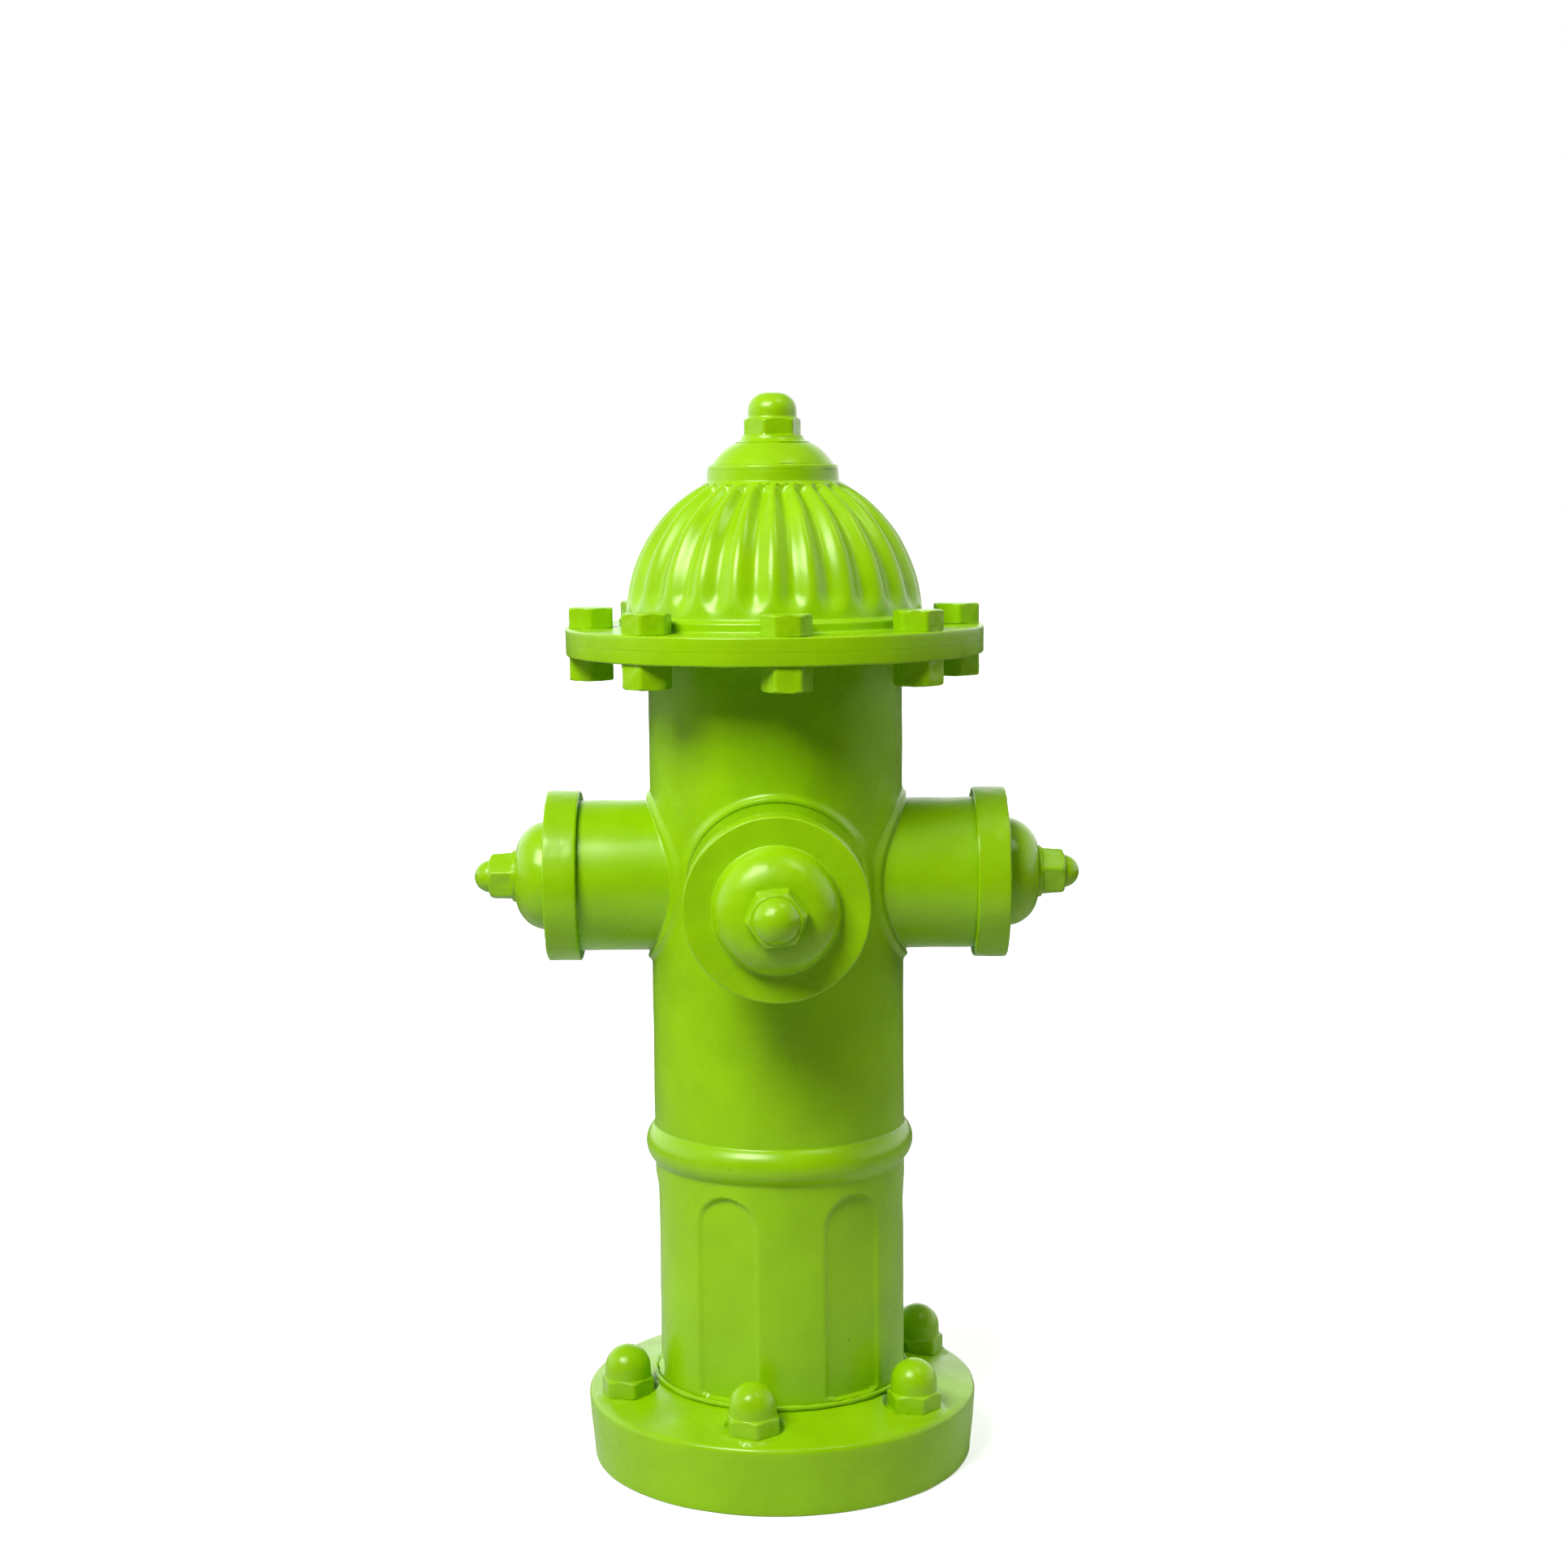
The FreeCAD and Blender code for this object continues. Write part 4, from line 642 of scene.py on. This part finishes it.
bolt_angles = [math.radians(first_bolt + 45 * index) for index in range(8)]
bolt_places = [(bolt_circle * math.sin(angle), -bolt_circle * math.cos(angle)) for angle in bolt_angles]
holes = [bar(bolt_hole_r, 600, 700, Matrix.Translation((x, y, 0))) for x, y in bolt_places]
carve(barrel, "DIFFERENCE", ports + holes)
sand_cast(barrel, 0.16, 52, (flange_z,))
hand_over(barrel, lime, "hydrant", "green_paint", "barrel")

# ---------------------------------------------------------------------------------------------
# Outlet nozzles: turned from bronze bar and screwed into the arms, with a rolled hose thread that
# runs six turns to the inch. They show only when a cap is off.
bronze, tree = new_material("turned_tin_bronze")
# Tin bronze off the lathe: a fine grain, with warm brown stains where it has been handled.
spot = put(tree, "ShaderNodeTexCoord", {}, {})
stain = put(tree, "ShaderNodeTexNoise", {}, {
    0: spot.outputs["Object"], "Scale": 1 / (20 * MM), "Detail": 4.0})
tone = put(tree, "ShaderNodeMix", colour_mix, {0: stain, 6: colour("#8A5A2B"), 7: colour("#C79A55")})
grain = put(tree, "ShaderNodeTexNoise", {}, {
    0: spot.outputs["Object"], "Scale": 1 / (0.8 * MM), "Detail": 2.0})
relief = put(tree, "ShaderNodeBump", {}, {"Height": grain, "Distance": 0.02 * MM, "Strength": 0.6})
gloss = put(tree, "ShaderNodeMapRange", {}, [stain, 0.3, 0.7, 0.22, 0.42])
finish = put(tree, "ShaderNodeBsdfPrincipled", {}, {
    "Base Color": tone.outputs[2], "Metallic": 1.0, "Roughness": gloss, "Normal": relief})
put(tree, "ShaderNodeOutputMaterial", {}, [finish])

tree, size = new_tree("rolled_thread", {
    "Pitch": ("Float", 0.00423), "Depth": ("Float", 0.002), "Low": ("Float", 0.0), "High": ("Float", 0.02),
    "Material": ("Material", None)})
here = put(tree, "GeometryNodeInputPosition", {}, [])
parts = put(tree, "ShaderNodeSeparateXYZ", {}, [here])
angle = put(tree, "ShaderNodeMath", {"operation": "ARCTAN2"}, [parts.outputs[1], parts.outputs[0]])
angle = put(tree, "ShaderNodeMath", {"operation": "DIVIDE"}, [angle, 2 * math.pi])
turns = put(tree, "ShaderNodeMath", {"operation": "DIVIDE"}, [parts.outputs[2], size["Pitch"]])
turns = put(tree, "ShaderNodeMath", {"operation": "SUBTRACT"}, [turns, angle])
flank = put(tree, "ShaderNodeMath", {"operation": "PINGPONG"}, [turns, 0.5])
groove = put(tree, "ShaderNodeMapRange", {}, [flank, 0.08, 0.42, 0.0, 1.0])
start = put(tree, "ShaderNodeMath", {"operation": "SUBTRACT"}, [parts.outputs[2], size["Low"]])
stop = put(tree, "ShaderNodeMath", {"operation": "SUBTRACT"}, [size["High"], parts.outputs[2]])
inside = put(tree, "ShaderNodeMath", {"operation": "MINIMUM"}, [start, stop])
inside = put(tree, "ShaderNodeMapRange", {}, [inside, 0.0, 0.001, 0.0, 1.0])
groove = put(tree, "ShaderNodeMath", {"operation": "MULTIPLY"}, [groove, inside])
groove = put(tree, "ShaderNodeMath", {"operation": "MULTIPLY"}, [groove, size["Depth"]])
groove = put(tree, "ShaderNodeMath", {"operation": "MULTIPLY"}, [groove, -1.0])
flat = put(tree, "ShaderNodeVectorMath", {"operation": "MULTIPLY"}, [here, (1, 1, 0)])
radius = put(tree, "ShaderNodeVectorMath", {"operation": "LENGTH"}, [flat]).outputs["Value"]
skin = put(tree, "ShaderNodeMath", {"operation": "GREATER_THAN"}, [radius, 0.0452])
way = put(tree, "ShaderNodeVectorMath", {"operation": "NORMALIZE"}, [flat])
push = put(tree, "ShaderNodeVectorMath", {"operation": "SCALE"}, {0: way, "Scale": groove})
cut = put(tree, "GeometryNodeSetPosition", {}, {
    "Geometry": size["Geometry"], "Selection": skin, "Offset": push})
solid = put(tree, "GeometryNodeRealizeInstances", {}, [cut])
bare = put(tree, "GeometryNodeSetMaterial", {}, {"Geometry": solid, "Material": size["Material"]})
put(tree, "NodeGroupOutput", {}, [bare])
rolled_thread = tree

seat = arm_end - 33.3
bore_r, relief_r, body_r, thread_r = 38, 43.8, 49, 46
thread_low, thread_high, lip_z = arm_end + 3.2, arm_end + 18.2, arm_end + 19.9
for outlet, lay in lays.items():
    place = Matrix.Translation((0, 0, outlet_z * MM)) @ lay
    nozzle = spin("nozzle_%s_turned" % outlet, divide(soften([
        (bore_r, seat, 0), (body_r, seat, 0), (body_r, arm_end - 0.6, 0), (relief_r, arm_end - 0.6, 0),
        (relief_r, arm_end + 1.6, 0), (thread_r, arm_end + 3.0, 0.3), (thread_r, arm_end + 18.4, 0.3),
        (44.5, lip_z, 0.4), (bore_r, lip_z, 0.5)]),
        lambda r, z: 0.45 if r > 45.2 and z > arm_end else 8.0), 180)
    grow(nozzle, rolled_thread, {
        "Pitch": 4.2333 * MM, "Depth": 2.0 * MM, "Low": thread_low * MM, "High": thread_high * MM,
        "Material": bronze})
    clean(nozzle, 50)
    nozzle.data.transform(place)
    hand_over(nozzle, bronze, "hydrant", "bronze", "nozzle_" + outlet)

# ---------------------------------------------------------------------------------------------
# Outlet caps: iron castings with a thick rim, a domed face, a wrench hexagon and a round tip. Each
# screws over a nozzle. The front one is from a larger pattern. Paint covers all but the thread.
corners = {"front": 37, "right": -12, "left": 14.5}
thread_clear_r, neck_r, dome_round = 46.3, 20.5, 26
for outlet, lay in lays.items():
    place = Matrix.Translation((0, 0, outlet_z * MM)) @ lay
    large = outlet == "front"
    rim, crown, grip, tip = (69.0, 47.0, 21.9, 17.9) if large else (67.5, 43.0, 19.6, 13.3)
    lean = 2.4 if large else 0.6
    face, top = arm_end + 0.8, arm_end + 25.8
    skirt_z, roof_z = face - 0.9, face + 22.4
    shoulder_z = top + math.sqrt(dome_round ** 2 - (neck_r - crown + dome_round) ** 2)
    climb = math.degrees(math.acos((neck_r - crown + dome_round) / dome_round))
    tip_start = math.degrees(math.asin((tip - 11.9) / tip))
    blank = spin("cap_blank", divide(soften([
        (thread_clear_r, face, 0), (60.5, face, 0), (60.6, skirt_z, 0.2), (rim, skirt_z, 1.6),
        (rim, top, 1.6), (crown + 0.4, top, 2.0)]
        + arc(crown - dome_round, top, dome_round, 5, climb, 12)
        + [(neck_r, shoulder_z, 0), (neck_r, top + 30.0, 0.6), (grip + lean, top + 30.6, 0.3),
           (grip + 0.1, top + 43.8, 2.0), (grip - 3.4, top + 46.8, 0.9)]
        + arc(0, top + 59.1 - tip, tip, tip_start, 90, 14)
        + [(0, top + 16, 0), (25.5, top + 16, 0), (34, roof_z, 0), (thread_clear_r, roof_z, 0)]),
        lambda r, z: 9.0 if z < top + 17 and r < 46 else 1.3 if z > top + 29 else 2.4), 144)
    cap = hexed("cap_%s_cast" % outlet, blank, [(0, 0, 0, corners[outlet])], (grip + lean) * math.sqrt(3),
                top + 28.3, top + 46.9, lime, 5.0 + rim, 0.0003, 0.015, 60.0, lean * math.sqrt(3) / 16)
    cap.data.transform(place)
    sand_cast(cap, 0.2, 40)
    hand_over(cap, lime, "cap_" + outlet, "green_paint", "cap_" + outlet)

# ---------------------------------------------------------------------------------------------
# Bonnet: an iron casting, bolted to the barrel. Twenty-four hollow flutes run up its dome from a
# rounded foot above the step to the neck ring. It carries the upper bolted flange.
low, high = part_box("bonnet")
joint_z, neck_z = low[2] / MM, high[2] / MM
dome_z, dome_r = joint_z + 18.2, 116.3
base = math.degrees(math.asin((joint_z + 19.2 - dome_z) / dome_r))
crest = math.degrees(math.asin((neck_z - 12 - dome_z) / dome_r))
inner = dome_r - 13.3
lower, upper = [math.degrees(math.asin((level - dome_z) / inner)) for level in (joint_z + 8.1, neck_z - 36)]
step_r, ring_r, gland_r, stem_bore_r = 122, 51.4, 36.0, 25.0
lip_r = 106.05


def bonnet_step(r, z):
    # long steps in the bore and inside the dome, short ones over the flutes
    if r < 47 or (r < 100 and z < joint_z + 60):
        return 12.0
    return 2.6 if r < 123 else 6.0


bonnet = spin("bonnet_casting", divide(soften([
    (lip_r, joint_z, 0), (flange_r, joint_z, 0), (flange_r, joint_z + 10.8, 1.6),
    (step_r, joint_z + 10.8, 2.0), (step_r, joint_z + 19.2, 2.2), (116.8, joint_z + 19.2, 2.5)]
    + arc(0, dome_z, dome_r, base + 2.2, crest, 30)
    + [(54.6, neck_z - 11.0, 1.2), (51.9, neck_z - 9.0, 2.0), (ring_r, neck_z, 0.15), (gland_r, neck_z, 0),
       (gland_r, neck_z - 30, 0), (stem_bore_r, neck_z - 30, 0), (stem_bore_r, neck_z - 36, 0)]
    + arc(0, dome_z, inner, upper, lower, 16) + [(lip_r, joint_z + 8.1, 0)]), bonnet_step), 384)
flute_half = 0.0148
grow(bonnet, hollows, {
    "Count": 24.0, "First": math.radians(7.5), "Half Width": flute_half, "Radius": dome_r * MM,
    "Low": (joint_z + 21.5) * MM, "Low Rounding": 0.02, "High": (neck_z - 10.0) * MM, "High Rounding": 0.004,
    "Border": flute_half, "Depth": 0.0056, "Flat": 0.0, "Material": lime})
clean(bonnet, 60)
holes = [bar(bolt_hole_r, 640, 720, Matrix.Translation((x, y, 0))) for x, y in bolt_places]
carve(bonnet, "DIFFERENCE", holes)
sand_cast(bonnet, 0.16, 52, (joint_z, neck_z))
hand_over(bonnet, lime, "hydrant", "green_paint", "bonnet")

# ---------------------------------------------------------------------------------------------
# Flange bolts: eight forged hexagon bolts with their nuts below, a flat of each facing outward.
# The brush has left them lumpy, with paint run into the corners.
bolt_flats, bolt_r = 33.95, 11
hex_places = [(x, y, 0, math.degrees(angle) + 30) for angle, (x, y) in zip(bolt_angles, bolt_places)]
head_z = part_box("bonnet_bolts")[1][2] / MM - 15.6
bolt_blank = spin("bolt_blank", divide(soften([
    (0, head_z - 41.8, 0), (bolt_r, head_z - 41.8, 0.8), (bolt_r, head_z + 0.1, 0),
    (19.3, head_z + 0.1, 0.5), (19.6, head_z + 14.2, 1.2), (17.2, head_z + 15.6, 0.8), (0, head_z + 15.6, 0)], 4),
    lambda r, z: 1.7 if z > head_z and r > 10 else 8.0), 96)
bolts = hexed("bonnet_bolts_forged", bolt_blank, hex_places, bolt_flats, head_z, head_z + 20, lime,
              1.0, 0.0004)
hand_over(bolts, lime, "hydrant", "green_paint", "bonnet_bolts")

nut_low, nut_high = [corner[2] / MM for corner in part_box("bonnet_nuts")]
nut_blank = spin("nut_blank", divide(soften([
    (11.05, nut_low, 0), (17.4, nut_low, 0.8), (19.6, nut_low + 1.4, 1.0), (19.6, nut_high, 0.4),
    (11.05, nut_high, 0)], 4), lambda r, z: 1.9 if r > 12 else 8.0), 96)
nuts = hexed("bonnet_nuts_forged", nut_blank, hex_places, bolt_flats, nut_low - 1, nut_high + 1, lime,
             4.0, 0.0004)
hand_over(nuts, lime, "hydrant", "green_paint", "bonnet_nuts")

# ---------------------------------------------------------------------------------------------
# Hold-down nut: a cast bell that screws into the neck and keeps the operating nut in its bearing.
low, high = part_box("hold_down_nut")
spigot_z, bell_z = low[2] / MM, high[2] / MM
bearing_r, spigot_r = 20.05, 35.95
hold_down = spin("hold_down_nut_cast", divide(soften([
    (bearing_r, spigot_z, 0), (spigot_r, spigot_z, 0), (spigot_r, neck_z + 0.1, 0),
    (51.3, neck_z + 0.05, 0.1), (50.9, neck_z + 3.6, 1.8), (47.0, neck_z + 4.2, 1.2)]
    + arc(5, neck_z - 23.8, 50.8, 34, 60, 12) + [(26.5, bell_z, 1.5), (bearing_r, bell_z, 0)]),
    lambda r, z: 2.2 if z > neck_z else 6.0), 192)
sand_cast(hold_down, 0.2, 36, (neck_z, neck_z + 0.1))
hand_over(hold_down, lime, "hydrant", "green_paint", "hold_down_nut")

# ---------------------------------------------------------------------------------------------
# Operating nut: a bronze casting under the same paint. Its hexagon rises out of a small flare above
# the bell and ends in a domed top. The collar and the shaft below are hidden in the neck.
low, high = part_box("operating_nut")
shaft_z, top_z = low[2] / MM, high[2] / MM
collar_z, flare_z = shaft_z + 7, bell_z + 0.25
bore_r, shaft_r, collar_r = 13.05, 20, 31
nut_blank = spin("operating_blank", divide(soften([
    (bore_r, shaft_z, 0), (shaft_r, shaft_z, 0), (shaft_r, collar_z, 0), (collar_r, collar_z, 0),
    (collar_r, collar_z + 7, 0), (shaft_r, collar_z + 7, 0), (shaft_r, flare_z, 0), (26.4, flare_z, 0),
    (28.9, bell_z - 0.85, 0)] + arc(29.6, bell_z + 5.4, 6.2, 262, 180, 8)
    + [(23.0, top_z - 21.4, 2.8), (19.4, top_z - 19.3, 1.2), (19.0, top_z - 18.0, 0.8)]
    + arc(5, top_z - 14, 14, 0, 90, 12)
    + [(0, top_z, 0), (0, top_z - 12.5, 0), (bore_r, top_z - 12.5, 0)]),
    lambda r, z: 1.2 if z > bell_z and r > 14 else 5.0), 144)
nut_flats = 40.0
operating = hexed("operating_nut_cast", nut_blank, [(0, 0, 0, -16.5)], nut_flats, bell_z + 4.3, top_z - 19.0,
                  lime, 9.0, 0.0002, 0.03, 40.0)
hand_over(operating, lime, "operating_nut", "green_paint", "operating_nut")

# ---------------------------------------------------------------------------------------------
# Works inside the hydrant: turned steel stems and screws, bronze plates, a bare iron coupling and
# rubber seals. They keep their own solids and get the finish that each has from the lathe or mould.
steel, tree = new_material("turned_carbon_steel")
# Oiled carbon steel: grey, with fine lathe marks and a little brown film.
spot = put(tree, "ShaderNodeTexCoord", {}, {})
film = put(tree, "ShaderNodeTexNoise", {}, {
    0: spot.outputs["Object"], "Scale": 1 / (18 * MM), "Detail": 4.0})
tone = put(tree, "ShaderNodeMix", colour_mix, {0: film, 6: colour("#7C756C"), 7: colour("#B4B4B2")})
marks = put(tree, "ShaderNodeTexWave", {"bands_direction": "Z"}, {
    0: spot.outputs["Object"], "Scale": 1 / (6 * MM), "Distortion": 0.6})
relief = put(tree, "ShaderNodeBump", {}, {"Height": marks, "Distance": 0.02 * MM, "Strength": 0.5})
finish = put(tree, "ShaderNodeBsdfPrincipled", {}, {
    "Base Color": tone.outputs[2], "Metallic": 1.0, "Roughness": 0.36, "Normal": relief})
put(tree, "ShaderNodeOutputMaterial", {}, [finish])

iron, tree = new_material("bare_grey_iron")
# Uncoated cast iron: near black, granular, dull, with patches of rust.
spot = put(tree, "ShaderNodeTexCoord", {}, {})
rust = put(tree, "ShaderNodeTexNoise", {}, {
    0: spot.outputs["Object"], "Scale": 1 / (12 * MM), "Detail": 6.0})
share = put(tree, "ShaderNodeMapRange", {}, [rust, 0.45, 0.65])
tone = put(tree, "ShaderNodeMix", colour_mix, {0: share, 6: colour("#3A3836"), 7: colour("#6A4028")})
grit = put(tree, "ShaderNodeTexNoise", {}, {
    0: spot.outputs["Object"], "Scale": 1 / (1.2 * MM), "Detail": 3.0})
relief = put(tree, "ShaderNodeBump", {}, {"Height": grit, "Distance": 0.15 * MM, "Strength": 0.7})
finish = put(tree, "ShaderNodeBsdfPrincipled", {}, {
    "Base Color": tone.outputs[2], "Metallic": 0.4, "Roughness": 0.7, "Normal": relief})
put(tree, "ShaderNodeOutputMaterial", {}, [finish])

rubber, tree = new_material("moulded_nitrile_rubber")
# Nitrile rubber from a steel mould: black with a grey bloom, soft low gloss.
spot = put(tree, "ShaderNodeTexCoord", {}, {})
bloom = put(tree, "ShaderNodeTexNoise", {}, {
    0: spot.outputs["Object"], "Scale": 1 / (9 * MM), "Detail": 3.0})
tone = put(tree, "ShaderNodeMix", colour_mix, {0: bloom, 6: colour("#141414"), 7: colour("#2E2D2C")})
relief = put(tree, "ShaderNodeBump", {}, {"Height": bloom, "Distance": 0.1 * MM, "Strength": 0.4})
finish = put(tree, "ShaderNodeBsdfPrincipled", {}, {
    "Base Color": tone.outputs[2], "Roughness": 0.55, "IOR": 1.52, "Normal": relief})
put(tree, "ShaderNodeOutputMaterial", {}, [finish])

finishes = {"bronze": bronze, "steel": steel, "bare_iron": iron, "rubber": rubber, "green_paint": lime}
for part in frame["record"]["subparts"]:
    for place in frame["nodes"][part["node"]].material_slots:
        place.material = finishes[part["material_slot"]]

size = {"cad": [list(corner) for corner in cad_box], "visual": [list(corner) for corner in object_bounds()]}
